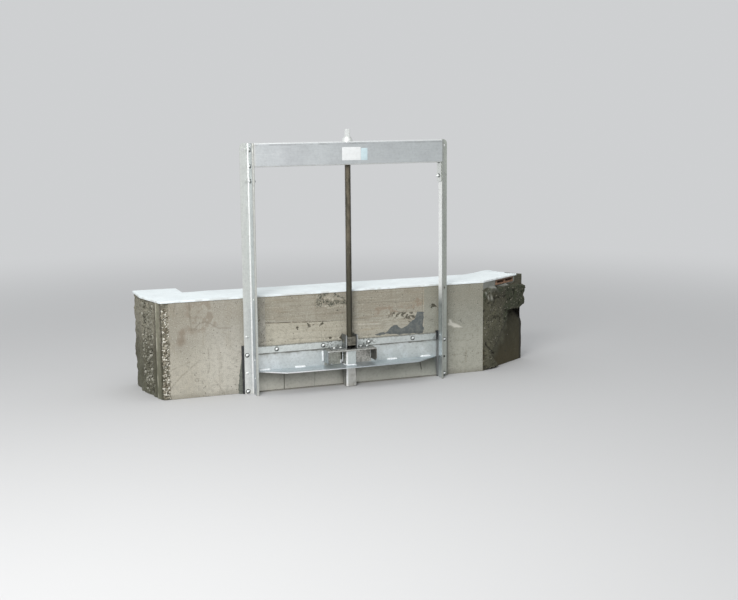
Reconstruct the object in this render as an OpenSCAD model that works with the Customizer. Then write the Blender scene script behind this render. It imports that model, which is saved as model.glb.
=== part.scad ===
// Wall-mounted stainless sluice gate with a non-rising screw, on its concrete headwall.
// X runs along the wall, Y into the wall, Z up. X = 0 is the middle of the gate, Y = 0 the wall face,
// Z = 0 the level of the water and of the ground that the wall stands on.

/* [Headwall] */
// Length of the wall face left of the gate's middle
wall_left = 1044; // [800:1:1400]
// Length of the wall face right of the gate's middle
wall_right = 845; // [750:1:1200]
// Thickness of the headwall
wall_t = 290; // [200:5:400]
// Height of the concrete below the mortar bed
wall_h = 523; // [400:1:700]
// Thickness of the mortar bed on top
cap_t = 12; // [6:1:25]
// How far the mortar bed stands out over the wall, outside the frame
cap_lip = 3; // [0:0.5:6]
// Distance of the mortar bed's broken end from the wing's near corner
cap_end = 400; // [330:1:430]
// Width of the culvert opening behind the leaf
opening_w = 940; // [700:5:1100]
// Height of the culvert opening above the water
opening_h = 225; // [120:1:240]

/* [Side walls] */
// Width of the left return wall, on the front face
return_w = 184; // [120:1:280]
// Depth of the left return wall
return_depth = 455; // [320:5:700]
// Depth at which the left return wall stops splaying
return_bend = 240; // [60:5:300]
// Outward splay of the left return wall at that depth
return_splay = 60; // [0:1:90]
// Length of the splayed right wing, along its face
wing_len = 455; // [440:1:600]
// Angle of the right wing behind the wall face
wing_angle = 33; // [20:1:40]
// Thickness of the right wing
wing_t = 240; // [180:1:280]
// How far the wing's broken facing stands out of its upper band
rubble_proud = 30; // [15:1:50]
// Open joint between the facing and the wall behind it
facing_gap = 0.2; // [0.1:0.1:0.6]
// Length over which the facing fades out towards the wing's near corner
rubble_fade = 110; // [80:1:130]
// Level of the facing's top ledge
ledge_z = 480; // [420:1:490]
// Level of the hollow's roof under the overhang
hollow_top = 322; // [300:1:360]
// Level of the hollow's floor
hollow_floor = 226; // [180:1:250]
// Depth of the hollow behind the wing's face
hollow_depth = 80; // [30:1:120]
// Distance of the hollow from the wing's near corner
hollow_at = 240; // [200:1:280]
// Length of the hollow
hollow_len = 190; // [120:1:195]
// Length of the hollow brick bedded under the mortar
brick_len = 195; // [100:1:220]
// Height of the hollow brick
brick_h = 30; // [24:1:34]
// Depth of the hollow brick
brick_depth = 70; // [50:1:110]
// How far the brick stands out of the wing's upper band
brick_proud = 6; // [0:1:15]
// Distance of the brick from the wing's near corner
brick_at = 141; // [60:1:200]
// Shell of the hollow brick
brick_shell = 8; // [5:1:10]
// Number of cells in the brick's length
brick_cells = 2; // [1:1:4]

/* [Frame] */
// How far the frame reaches past the culvert opening, on each side
frame_lap = 130; // [110:1:200]
// Plate thickness of posts and yoke
plate_t = 5; // [4:0.5:6]
// Width of a post's flange, outside the web
flange_w = 47; // [40:1:60]
// Depth of a post from the back of its flange to its lip
post_depth = 75; // [65:1:95]
// Width of a post's front lip, over the web
lip_w = 12; // [12:1:16]
// Inside radius of the bends
bend_r = 5; // [3:0.5:6]
// Radius of the flange's top corner
corner_r = 24; // [5:1:30]
// Diameter of the fixing holes
hole_d = 13; // [11:0.5:15]
// Level of the lowest fixing hole
hole_z = 14; // [13:0.5:30]
// Spacing of the fixing holes
hole_pitch = 100; // [80:1:120]
// Number of fixing holes in the lower row of each flange
hole_count = 6; // [3:1:8]
// Distance of the fixing holes from the flange's edge
hole_edge = 16; // [14:0.5:24]
// Depth of the top fixing hole below the frame's top
top_hole_drop = 34; // [20:1:50]

/* [Guides and sill] */
// Thickness of the guides between frame and wall
guide_t = 22; // [20:0.5:26]
// Height of the guides
guide_h = 264; // [200:1:400]
// How far the guides show past the flanges
guide_proud = 9; // [2:0.5:16]
// How far the guides reach inside the webs
guide_inset = 6; // [3:0.5:9]
// Depth of the groove that the leaf runs in
groove_depth = 24; // [18:0.5:26]
// Clearance of the leaf in its groove, on each face
groove_gap = 1; // [0.5:0.1:1.5]
// Thickness of the sill plate
sill_t = 4; // [3:0.5:6]
// How far the sill plate reaches into the opening
sill_tongue = 25; // [10:1:60]

/* [Yoke] */
// Height of the yoke
yoke_h = 126; // [110:1:160]
// Gap between the yoke's face and the posts' lips
yoke_side_gap = 0.5; // [0.3:0.1:2]
// Height of the legs below the yoke
leg_drop = 105; // [80:1:140]
// Thickness of the legs
leg_t = 12; // [8:0.5:14]
// Depth of the yoke's folded flanges
yoke_flange = 66; // [60:1:70]
// Clear slot in the lower flange round a bolt's end
bolt_slot = 30; // [26:1:36]
// Distance of the upper bolts from the yoke's top
yoke_bolt_top = 36; // [25:1:45]
// Distance of the middle bolts from the yoke's underside
yoke_bolt_mid = 5; // [0:1:20]
// Distance of the lower bolts from the legs' end
yoke_bolt_low = 31; // [20:1:40]
// Spacing of the yoke's stiffeners, clear
stiffener_gap = 80; // [66:1:120]
// Snipe of the stiffeners' corners, clear of the folds
snipe = 8; // [7:0.5:14]

/* [Fasteners] */
// Shank diameter of the wall anchors and the yoke bolts
bolt_d = 12; // [10:0.5:14]
// Depth of the anchors in the concrete
anchor_depth = 80; // [50:5:120]
// Shank diameter of the clamp bolts
clamp_bolt_d = 12; // [8:0.5:14]
// Shank diameter of the bracket bolts
foot_bolt_d = 10; // [8:0.5:11]
// Clearance of a shank in its hole, on the radius
bolt_gap = 0.3; // [0.2:0.1:0.5]

/* [Leaf] */
// Thickness of the leaf
leaf_t = 6; // [4:0.5:8]
// Height of the leaf's top above the water
leaf_top = 253; // [240:1:262]
// Level of the leaf's lower edge
leaf_bottom = 7; // [7:1:20]
// Width that the leaf reaches into each groove
leaf_edge = 18; // [10:0.5:20]
// Travel of the leaf
travel = 900; // [700:5:1100]
// Clear height left between the raised bracket and the yoke
headroom = 38; // [10:1:80]
// Height of the clamp bar
bar_h = 42; // [35:1:60]
// Thickness of the clamp bar
bar_t = 6; // [4:0.5:8]
// How far the clamp bar stands above the leaf
bar_rise = 2; // [0:0.5:4]
// Number of clamp bolts
clamp_count = 4; // [2:2:6]
// How far the row of clamp bolts sits left of the leaf's middle
clamp_shift = 12; // [0:1:16]
// Clearance of the clamp bar beside the guides
bar_end_gap = 4; // [2:0.5:8]
// Gap between the clamp bar's halves and the nut bracket
bar_split_gap = 1; // [0.5:0.5:4]
// Running gap of the seals
seal_gap = 0.5; // [0.3:0.1:1]
// Margin of the top seal behind the bar
seal_margin = 4; // [2:0.5:8]
// Height of the bottom seal behind the leaf
foot_seal_h = 24; // [12:1:40]

/* [Rib and column] */
// Level of the rib's top face
rib_top = 121; // [100:1:150]
// Thickness of the rib
rib_t = 6; // [4:0.5:8]
// Depth of the rib at its ends
rib_end_depth = 18; // [12:1:30]
// Depth of the rib where its taper ends
rib_knee_depth = 108; // [80:1:115]
// Depth of the rib in the middle
rib_mid_depth = 119; // [100:1:130]
// Gap between the rib's ends and the guides
rib_end_gap = 17; // [6:1:60]
// Length of the straight taper at each end of the rib
rib_taper = 135; // [60:1:200]
// Side of the square column
column_w = 60; // [56:1:70]
// Wall of the column
column_t = 3; // [2:0.5:5]
// Corner radius of the column
column_r = 6; // [4:0.5:8]
// Gap between the column and the ground
column_foot_gap = 2; // [1:0.5:6]

/* [Nut bracket] */
// Level of the shelf's top face
shelf_z = 212; // [205:1:212]
// Thickness of the shelf
shelf_t = 8; // [6:0.5:10]
// Width of the shelf
shelf_w = 286; // [260:1:340]
// Depth of the shelf
shelf_depth = 82; // [76:1:95]
// Thickness of the gussets
gusset_t = 6; // [4:0.5:8]
// Height of the gussets
gusset_h = 64; // [40:1:70]
// Snipe of the gussets' lower front corner
gusset_snipe = 12; // [4:1:20]
// How far the shelf stands past the gussets
gusset_inset = 0; // [0:0.5:10]
// Thickness of the cheeks
cheek_t = 6; // [5:0.5:8]
// Height of the cheeks
cheek_h = 80; // [72:1:90]
// Depth of the cheeks, from the leaf
cheek_depth = 70; // [66:1:80]
// Gap between the cheeks' feet and the clamp bar
foot_back_gap = 2; // [1:0.5:6]
// Length of the cheeks' feet
foot_len = 83; // [70:1:95]
// Clearance between the nut and a cheek
nut_side_gap = 1.2; // [0.5:0.1:2]
// Distance of the inner foot bolts from the cheeks
foot_bolt_in = 24; // [18:1:30]
// Distance of the outer foot bolts from the cheeks
foot_bolt_out = 62; // [50:1:68]
// Distance of the foot bolts from the feet's front edge
foot_bolt_edge = 21; // [14:1:28]
// How far the foot bolts stand out below their nuts' washers
bolt_tail = 4; // [1:0.5:8]
// Width and depth of the bronze nut
nut_w = 56; // [50:1:58]
// Height of the bronze nut
nut_h = 47; // [40:1:52]
// Gap under the bronze nut
nut_lift = 19; // [12:1:24]
// Corner radius of the bronze nut
nut_r = 2; // [1:0.5:6]
// Radius of the nut's trunnions
trunnion_r = 12; // [8:0.5:14]

/* [Screw] */
// Radius of the screw
stem_r = 18; // [15:0.5:20]
// Level of the screw's lower end
stem_foot = 136; // [125:1:150]
// Running gap between the screw and the nut
stem_gap = 0.3; // [0.2:0.1:0.5]
// Clear hole for the screw in shelf, rib and yoke, on the radius
stem_hole_r = 23; // [21:0.5:24]
// Radius of the journal in the bearing
journal_r = 14; // [12:0.5:14.5]
// Height of the bearing housing
bearing_h = 19; // [15:0.5:26]
// Height of the bearing housing's straight foot
bearing_foot = 6; // [3:0.5:12]
// Radius of the bearing housing's base
bearing_r = 29; // [26:0.5:33]
// Radius of the bearing housing's top
bearing_top_r = 24; // [22:0.5:25]
// Radius of the collars on the screw
collar_r = 21; // [17:0.5:21]
// Height of the lower collar
collar_h = 20; // [12:1:30]
// Height of the upper collar
top_collar_h = 4; // [3:0.5:8]
// Side of the driving square
square_w = 25; // [20:0.5:27]
// Height of the driving square
square_h = 42; // [30:1:60]
// Diameter of the driving square over its trimmed corners
square_over = 33; // [29:0.5:35]
// Chamfer of the driving square
square_chamfer = 2; // [0.5:0.5:4]

/* [Hidden] */
$fn = 48;

bore_cut = 1;
bend_steps = 6;
bow_steps = 12;
fold_r = bend_r + plate_t;

// Heads and washers, as shares of the bolt's diameter
washer_share = 0.2;
head_share = 0.65;
head_width_share = 0.92;

// Size of the frame, from the culvert opening and the leaf's travel
frame_w = opening_w + 2 * frame_lap;
frame_h = shelf_z + cheek_h + travel + headroom + yoke_h;

// Frame planes, from the wall outwards
flange_back = -guide_t;
flange_front = flange_back - plate_t;
lip_front = flange_back - post_depth;
web_out = frame_w / 2 - flange_w;
web_in = web_out - plate_t;
lip_in = web_out - lip_w;
hole_x = frame_w / 2 - hole_edge;

// Leaf planes
leaf_back = -(guide_t - leaf_t) / 2 + groove_gap;
leaf_front = leaf_back - leaf_t;
guide_in = web_in - guide_inset;
leaf_half = guide_in + leaf_edge;
bar_front = leaf_front - bar_t;
bar_half = guide_in - bar_end_gap;
rib_half = guide_in - rib_end_gap;
bar_top = leaf_top + bar_rise;
column_front = leaf_front - column_w;
stem_y = leaf_front - column_w / 2;
seal_back = -seal_gap;

// Yoke levels
yoke_z = frame_h - yoke_h;
leg_z = yoke_z - leg_drop;
leg_in = web_in - leg_t;
leg_back = flange_front - bend_r;
leg_front = lip_front + plate_t + bend_r;
leg_top = frame_h - plate_t;
leg_bolt_y = (leg_back + leg_front) / 2;
yoke_half = lip_in - yoke_side_gap;
yoke_back = lip_front + yoke_flange;
yoke_bolt_levels = [leg_z + yoke_bolt_low, yoke_z + yoke_bolt_mid, frame_h - yoke_bolt_top];

// Bracket levels
shelf_under = shelf_z - shelf_t;
shelf_front = leaf_front - shelf_depth;
cheek_in = nut_w / 2 + nut_side_gap;
cheek_out = cheek_in + cheek_t;
cheek_front = leaf_front - cheek_depth;
foot_back = bar_front - foot_back_gap;
bar_in = cheek_out + bar_split_gap;
nut_z = shelf_z + nut_lift;
trunnion_z = nut_z + nut_h / 2;
foot_bolts = [cheek_out + foot_bolt_in, cheek_out + foot_bolt_out];
foot_bolt_y = cheek_front + foot_bolt_edge;
clamp_level = bar_top - bar_h / 2;
clamp_pitch = 2 * bar_half / clamp_count;
clamp_x = [for (i = [0:clamp_count - 1]) -bar_half + (i + 0.5) * clamp_pitch - clamp_shift];

// Fixing holes in the flanges: a row beside the wall and one hole near the top
hole_levels = concat([for (k = [0:hole_count - 1]) hole_z + k * hole_pitch], [frame_h - top_hole_drop]);
anchor_levels = [hole_levels[0], hole_levels[2]];

// Screw levels
bearing_top = frame_h + bearing_h;
collar_top = frame_h - plate_t - stem_gap;
square_z = bearing_top + stem_gap + top_collar_h;

// Right wing, as a frame that runs along its face
wing_dir = [cos(wing_angle), sin(wing_angle)];
wing_norm = [-sin(wing_angle), cos(wing_angle)];
wing_start = [wall_right, 0];
wing_end = wing_start + wing_len * wing_dir;
wing_back_end = wing_end + wing_t * wing_norm;
wing_back_run = (wing_back_end[1] - wall_t) / wing_dir[1];
wing_root = [wing_back_end[0] - wing_back_run * wing_dir[0], wall_t];
cap_corner = wing_start + cap_end * wing_dir - cap_lip * wing_norm;
return_in = -wall_left + return_w;

// Points of an arc from angle a to angle b
function arc(c, r, a, b, n = bend_steps) =
    [for (i = [0:n]) c + r * [cos(a + (b - a) * i / n), sin(a + (b - a) * i / n)]];

// Outline of a rectangle with round corners
function round_rect(w, d, r) = concat(
    arc([w / 2 - r, d / 2 - r], r, 0, 90), arc([-w / 2 + r, d / 2 - r], r, 90, 180),
    arc([-w / 2 + r, -d / 2 + r], r, 180, 270), arc([w / 2 - r, -d / 2 + r], r, 270, 360));

module on_side(side) {
    if (side < 0) mirror([1, 0, 0]) children();
    else children();
}

// A cylinder that runs along Y from y0 to y1
module rod_y(x, z, r, y0, y1) {
    translate([x, y1, z]) rotate([90, 0, 0]) cylinder(r = r, h = y1 - y0);
}

// A cylinder that runs along X from x0 to x1
module rod_x(y, z, r, x0, x1) {
    translate([x0, y, z]) rotate([0, 90, 0]) cylinder(r = r, h = x1 - x0);
}

// A six-sided head, standing along +Z
module hex_head(d) {
    cylinder(r = d * head_width_share, h = d * head_share, $fn = 6);
}

// A washer with a six-sided nut or head on it, standing along +Z from its seat
module nut_on_washer(d) {
    cylinder(r = d, h = d * washer_share);
    translate([0, 0, d * washer_share]) hex_head(d);
}

// Headwall

module wall_block(x0, x1, z0) {
    color("#a69f8f") difference() {
        translate([x0, 0, z0]) cube([x1 - x0, wall_t, wall_h - z0]);
        for (s = [-1, 1], z = anchor_levels)
            rod_y(s * hole_x, z, bolt_d / 2 + bolt_gap, -bore_cut, anchor_depth);
    }
}

module headwall_left() {
    wall_block(return_in, -opening_w / 2, 0);
}

module headwall_right() {
    wall_block(opening_w / 2, wall_right, 0);
}

module headwall_lintel() {
    color("#a29c8c") translate([-opening_w / 2, 0, opening_h])
        cube([opening_w, wall_t, wall_h - opening_h]);
}

module return_wall_left() {
    color("#948d7c") linear_extrude(wall_h) polygon([
        [return_in, 0], [return_in, return_depth], [-wall_left - return_splay, return_depth],
        [-wall_left - return_splay, return_bend], [-wall_left, 0]]);
}

// Places what is drawn in the wing's own frame: X along its face, Y into it
module in_wing() {
    translate([wing_start[0], wing_start[1], 0]) rotate([0, 0, wing_angle]) children();
}

// A profile of the wing's face, drawn with its length and height, from depth y0 to y1
module wing_profile(points, y0, y1) {
    in_wing() translate([0, y1, 0]) rotate([90, 0, 0]) linear_extrude(y1 - y0) polygon(points);
}

module wing_wall_right() {
    brick_z = wall_h - brick_h;
    color("#5e584a") difference() {
        linear_extrude(wall_h)
            polygon([wing_start, wing_end, wing_back_end, wing_root, [wall_right, wall_t]]);
        in_wing() translate([brick_at, -bore_cut, brick_z])
            cube([brick_len, brick_depth - brick_proud + bore_cut, brick_h + bore_cut]);
        in_wing() translate([hollow_at, -bore_cut, hollow_floor])
            cube([hollow_len, hollow_depth + bore_cut, hollow_top - hollow_floor]);
    }
}

// Broken facing: a full-height root by the corner, then an overhang above the hollow
function rubble_face() = [
    [0, 0], [0, ledge_z - 34], [rubble_fade * 0.4, ledge_z + 4], [hollow_at, ledge_z],
    [hollow_at + hollow_len * 0.5, ledge_z - 12], [wing_len, ledge_z - 22], [wing_len, hollow_top + 8],
    [hollow_at + hollow_len * 0.8, hollow_top], [hollow_at, hollow_top + 8], [hollow_at, hollow_floor + 40],
    [rubble_fade * 0.6, hollow_floor * 0.4], [rubble_fade * 1.1, hollow_floor * 0.2], [rubble_fade * 1.4, 0]
];

module wing_rubble() {
    color("#6d6653") intersection() {
        wing_profile(rubble_face(), -rubble_proud, -facing_gap);
        in_wing() linear_extrude(wall_h) polygon([
            [0, 0], [rubble_fade * 0.4, -rubble_proud * 0.6], [rubble_fade, -rubble_proud],
            [wing_len, -rubble_proud], [wing_len, 0]]);
    }
}

// A hollow brick whose face is broken off, so that its cells lie open
module hollow_brick() {
    cell = (brick_len - brick_shell) / brick_cells - brick_shell;
    color("#a5623a") in_wing() translate([brick_at, -brick_proud, wall_h - brick_h]) difference() {
        cube([brick_len, brick_depth, brick_h]);
        for (i = [0:brick_cells - 1])
            translate([brick_shell + i * (cell + brick_shell), -bore_cut, brick_shell])
                cube([cell, brick_depth - brick_shell + bore_cut, brick_h - 2 * brick_shell]);
    }
}

module wall_cap() {
    outer = frame_w / 2 + guide_proud;
    color("#d8dcda") translate([0, 0, wall_h]) linear_extrude(cap_t) polygon(concat(
        [[-wall_left - cap_lip, -cap_lip], [-outer, -cap_lip], [-outer, 0], [outer, 0], [outer, -cap_lip]],
        [[wall_right, -cap_lip], cap_corner, wing_back_end, wing_root],
        [[return_in, wall_t], [return_in, return_depth],
         [-wall_left - return_splay - cap_lip, return_depth],
         [-wall_left - return_splay - cap_lip, return_bend]]));
}

// Frame

// Section of the right post, a folded plate: flange on the guide, web, lip turned inwards
function post_section() =
    let (back_bend = [web_out + bend_r, flange_front - bend_r],
         front_bend = [web_in - bend_r, lip_front + fold_r])
    concat(
        [[frame_w / 2, flange_front]], arc(back_bend, bend_r, 90, 180), arc(front_bend, fold_r, 0, -90),
        [[lip_in, lip_front], [lip_in, lip_front + plate_t]], arc(front_bend, bend_r, -90, 0),
        arc(back_bend, fold_r, 180, 90), [[frame_w / 2, flange_back]]);

module post(side) {
    color("#b9bcb8") on_side(side) difference() {
        linear_extrude(frame_h) polygon(post_section());
        for (z = hole_levels)
            rod_y(hole_x, z, hole_d / 2, flange_front - bore_cut, flange_back + bore_cut);
        for (z = yoke_bolt_levels)
            rod_x(leg_bolt_y, z, bolt_d / 2 + bolt_gap, web_in - bore_cut, web_out + bore_cut);
        difference() {
            translate([frame_w / 2 - corner_r, flange_front - bore_cut, frame_h - corner_r])
                cube([corner_r + bore_cut, plate_t + 2 * bore_cut, corner_r + bore_cut]);
            rod_y(frame_w / 2 - corner_r, frame_h - corner_r, corner_r,
                flange_front - 2 * bore_cut, flange_back + 2 * bore_cut);
        }
    }
}

module post_left() {
    post(-1);
}

module post_right() {
    post(1);
}

module guide(side) {
    outer = frame_w / 2 + guide_proud;
    color("#26282a") on_side(side) difference() {
        translate([guide_in, -guide_t, 0]) cube([outer - guide_in, guide_t, guide_h]);
        translate([guide_in - bore_cut, leaf_front - groove_gap, -bore_cut])
            cube([groove_depth + bore_cut, leaf_t + 2 * groove_gap, guide_h + 2 * bore_cut]);
        for (z = anchor_levels)
            rod_y(hole_x, z, bolt_d / 2 + bolt_gap, -guide_t - bore_cut, bore_cut);
    }
}

module guide_left() {
    guide(-1);
}

module guide_right() {
    guide(1);
}

module sill_plate() {
    color("#a5a8a4") {
        translate([-guide_in, leaf_front, 0]) cube([2 * guide_in, -leaf_front, sill_t]);
        translate([-opening_w / 2, 0, 0]) cube([opening_w, sill_tongue, sill_t]);
    }
}

module anchors(side) {
    color("#9da09d") on_side(side) for (z = anchor_levels) {
        rod_y(hole_x, z, bolt_d / 2, flange_front, anchor_depth);
        translate([hole_x, flange_front, z]) rotate([90, 0, 0]) nut_on_washer(bolt_d);
    }
}

module anchors_left() {
    anchors(-1);
}

module anchors_right() {
    anchors(1);
}

// Yoke

// Section of the yoke, a plate folded into a channel that is open to the wall
function yoke_section() =
    let (low_bend = [lip_front + fold_r, yoke_z + fold_r],
         high_bend = [lip_front + fold_r, frame_h - fold_r])
    concat(
        [[yoke_back, yoke_z]], arc(low_bend, fold_r, 270, 180), arc(high_bend, fold_r, 180, 90),
        [[yoke_back, frame_h], [yoke_back, frame_h - plate_t]], arc(high_bend, bend_r, 90, 180),
        arc(low_bend, bend_r, 180, 270), [[yoke_back, yoke_z + plate_t]]);

module yoke_channel() {
    color("#b4b8b8") difference() {
        translate([-yoke_half, 0, 0]) rotate([90, 0, 90])
            linear_extrude(2 * yoke_half) polygon(yoke_section());
        for (s = [-1, 1]) on_side(s)
            translate([leg_in, lip_front + plate_t, yoke_z - bore_cut])
                cube([leg_t, yoke_flange, yoke_h + 2 * bore_cut]);
        translate([0, stem_y, yoke_z - bore_cut]) cylinder(r = stem_hole_r, h = plate_t + 2 * bore_cut);
        translate([0, stem_y, frame_h - plate_t - bore_cut])
            cylinder(r = journal_r + stem_gap, h = plate_t + 2 * bore_cut);
        for (s = [-1, 1])
            translate([s * leg_in - bolt_slot, leg_bolt_y - bolt_slot / 2, yoke_z - bore_cut])
                cube([2 * bolt_slot, bolt_slot, plate_t + 2 * bore_cut]);
    }
}

module yoke_leg(side) {
    color("#c2c4bf") on_side(side) difference() {
        translate([leg_in, leg_front, leg_z]) cube([leg_t, leg_back - leg_front, leg_top - leg_z]);
        for (z = yoke_bolt_levels)
            rod_x(leg_bolt_y, z, bolt_d / 2 + bolt_gap, leg_in - bore_cut, web_in + bore_cut);
    }
}

module yoke_leg_left() {
    yoke_leg(-1);
}

module yoke_leg_right() {
    yoke_leg(1);
}

module yoke_bolts(side) {
    color("#a3a6a3") on_side(side) for (z = yoke_bolt_levels) {
        rod_x(leg_bolt_y, z, bolt_d / 2, leg_in - bolt_d, web_out);
        translate([web_out, leg_bolt_y, z]) rotate([0, 90, 0]) nut_on_washer(bolt_d);
        translate([leg_in, leg_bolt_y, z]) rotate([0, -90, 0]) nut_on_washer(bolt_d);
    }
}

module yoke_bolts_left() {
    yoke_bolts(-1);
}

module yoke_bolts_right() {
    yoke_bolts(1);
}

module yoke_stiffeners() {
    front = lip_front + plate_t;
    low = yoke_z + plate_t;
    high = frame_h - plate_t;
    color("#a9adab") for (s = [-1, 1]) on_side(s)
        translate([stiffener_gap / 2, 0, 0]) rotate([90, 0, 90]) linear_extrude(plate_t) polygon([
            [front, low + snipe], [front, high - snipe], [front + snipe, high],
            [yoke_back, high], [yoke_back, low], [front + snipe, low]]);
}

module bearing_housing() {
    color("#c9ccc9") translate([0, stem_y, frame_h]) difference() {
        union() {
            cylinder(r = bearing_r, h = bearing_foot);
            translate([0, 0, bearing_foot])
                cylinder(r1 = bearing_r, r2 = bearing_top_r, h = bearing_h - bearing_foot);
        }
        translate([0, 0, -bore_cut]) cylinder(r = journal_r + stem_gap, h = bearing_h + 2 * bore_cut);
    }
}

// Leaf

module leaf_plate() {
    color("#aeb1ad") difference() {
        translate([-leaf_half, leaf_front, leaf_bottom])
            cube([2 * leaf_half, leaf_t, leaf_top - leaf_bottom]);
        for (x = clamp_x)
            rod_y(x, clamp_level, clamp_bolt_d / 2 + bolt_gap, leaf_front - bore_cut, leaf_back + bore_cut);
    }
}

module clamp_bar() {
    color("#b9bdb9") difference() {
        for (s = [-1, 1]) on_side(s)
            translate([bar_in, bar_front, bar_top - bar_h]) cube([bar_half - bar_in, bar_t, bar_h]);
        for (x = clamp_x)
            rod_y(x, clamp_level, clamp_bolt_d / 2 + bolt_gap, bar_front - bore_cut, leaf_front + bore_cut);
    }
}

module clamp_bolts() {
    color("#c4c6c3") for (x = clamp_x) {
        rod_y(x, clamp_level, clamp_bolt_d / 2, bar_front, leaf_back);
        translate([x, bar_front, clamp_level]) rotate([90, 0, 0]) nut_on_washer(clamp_bolt_d);
    }
}

module top_seal() {
    color("#1f2122") translate([-bar_half, leaf_back, bar_top - bar_h + seal_margin])
        cube([2 * bar_half, seal_back - leaf_back, bar_h - bar_rise - 2 * seal_margin]);
}

module bottom_seal() {
    color("#1f2122") translate([-bar_half, leaf_back, sill_t + seal_gap])
        cube([2 * bar_half, seal_back - leaf_back, foot_seal_h]);
}

// Plan of the rib: straight tapers at its ends, a shallow bow between them
function rib_outline() = concat(
    [[rib_half, 0], [rib_half, -rib_end_depth]],
    [for (i = [bow_steps:-1:-bow_steps]) let (u = i / bow_steps)
        [u * (rib_half - rib_taper), -rib_mid_depth + (rib_mid_depth - rib_knee_depth) * u * u]],
    [[-rib_half, -rib_end_depth], [-rib_half, 0]]);

module bow_rib() {
    color("#b6b9b8") difference() {
        translate([0, leaf_front, rib_top - rib_t]) linear_extrude(rib_t) polygon(rib_outline());
        translate([0, stem_y, rib_top - rib_t - bore_cut])
            cylinder(r = stem_hole_r, h = rib_t + 2 * bore_cut);
    }
}

module column(z0, z1) {
    color("#c3c6c4") translate([0, stem_y, z0]) linear_extrude(z1 - z0) difference() {
        polygon(round_rect(column_w, column_w, column_r));
        polygon(round_rect(column_w - 2 * column_t, column_w - 2 * column_t, column_r - column_t));
    }
}

module column_upper() {
    column(rib_top, shelf_under);
}

module column_lower() {
    column(column_foot_gap, rib_top - rib_t);
}

// Nut bracket

module nut_shelf() {
    color("#9fa29f") difference() {
        translate([-shelf_w / 2, shelf_front, shelf_under]) cube([shelf_w, shelf_depth, shelf_t]);
        translate([0, stem_y, shelf_under - bore_cut]) cylinder(r = stem_hole_r, h = shelf_t + 2 * bore_cut);
        for (x = foot_bolts, s = [-1, 1])
            translate([s * x, foot_bolt_y, shelf_under - bore_cut])
                cylinder(r = foot_bolt_d / 2 + bolt_gap, h = shelf_t + 2 * bore_cut);
    }
}

module gusset(side) {
    x0 = shelf_w / 2 - gusset_inset - gusset_t;
    color("#a8aba8") on_side(side) translate([x0 + gusset_t, 0, 0]) rotate([0, -90, 0])
        linear_extrude(gusset_t) polygon([
            [shelf_under, leaf_front], [shelf_under, shelf_front + gusset_inset],
            [shelf_under - gusset_h + gusset_snipe, shelf_front + gusset_inset],
            [shelf_under - gusset_h, shelf_front + gusset_inset + gusset_snipe],
            [shelf_under - gusset_h, leaf_front]]);
}

module gusset_left() {
    gusset(-1);
}

module gusset_right() {
    gusset(1);
}

// Section of the right cheek, an angle: upright plate and foot, its bend rounded
function cheek_section() = concat(
    [[cheek_out, cheek_h], [cheek_in, cheek_h]], arc([cheek_out, cheek_t], cheek_t, 180, 270),
    [[cheek_out + foot_len, 0], [cheek_out + foot_len, cheek_t], [cheek_out, cheek_t]]);

module cheek(side) {
    color("#a4a7a4") on_side(side) difference() {
        union() {
            translate([0, foot_back, shelf_z]) rotate([90, 0, 0])
                linear_extrude(foot_back - cheek_front) polygon(cheek_section());
            translate([cheek_in, foot_back, shelf_z + cheek_t])
                cube([cheek_t, leaf_front - foot_back, cheek_h - cheek_t]);
        }
        rod_x(stem_y, trunnion_z, trunnion_r + stem_gap, cheek_in - bore_cut, cheek_out + bore_cut);
        for (x = foot_bolts)
            translate([x, foot_bolt_y, shelf_z - bore_cut])
                cylinder(r = foot_bolt_d / 2 + bolt_gap, h = cheek_t + 2 * bore_cut);
    }
}

module cheek_left() {
    cheek(-1);
}

module cheek_right() {
    cheek(1);
}

module bracket_bolts() {
    color("#b4b7b4") for (x = foot_bolts, s = [-1, 1]) {
        translate([s * x, foot_bolt_y, shelf_under - bolt_tail])
            cylinder(r = foot_bolt_d / 2, h = bolt_tail + shelf_t + cheek_t);
        translate([s * x, foot_bolt_y, shelf_z + cheek_t]) nut_on_washer(foot_bolt_d);
        translate([s * x, foot_bolt_y, shelf_under]) mirror([0, 0, 1]) nut_on_washer(foot_bolt_d);
    }
}

module stem_nut() {
    color("#5a4a38") difference() {
        union() {
            translate([0, stem_y, nut_z]) linear_extrude(nut_h) polygon(round_rect(nut_w, nut_w, nut_r));
            rod_x(stem_y, trunnion_z, trunnion_r, -cheek_out, cheek_out);
        }
        translate([0, stem_y, nut_z - bore_cut]) cylinder(r = stem_r + stem_gap, h = nut_h + 2 * bore_cut);
    }
}

// Screw

module stem_rod() {
    color("#4f4638") translate([0, stem_y, 0]) {
        translate([0, 0, stem_foot]) cylinder(r = stem_r, h = collar_top - collar_h - stem_foot);
        translate([0, 0, collar_top - collar_h])
            cylinder(r = journal_r, h = square_z - collar_top + collar_h);
    }
}

module ring(z, h) {
    translate([0, stem_y, z]) difference() {
        cylinder(r = collar_r, h = h);
        translate([0, 0, -bore_cut]) cylinder(r = journal_r, h = h + 2 * bore_cut);
    }
}

module lower_collar() {
    color("#8d8f8c") ring(collar_top - collar_h, collar_h);
}

module upper_collar() {
    color("#c6c9c6") ring(bearing_top + stem_gap, top_collar_h);
}

// A square end, its corners trimmed round and its top chamfered
module drive_square() {
    half = square_w / 2;
    over = square_over / 2;
    color("#d2d5d2") translate([0, stem_y, square_z]) intersection() {
        translate([-half, -half, 0]) cube([square_w, square_w, square_h]);
        union() {
            cylinder(r = over, h = square_h - square_chamfer);
            translate([0, 0, square_h - square_chamfer])
                cylinder(r1 = over, r2 = over - square_chamfer, h = square_chamfer);
        }
    }
}

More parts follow.
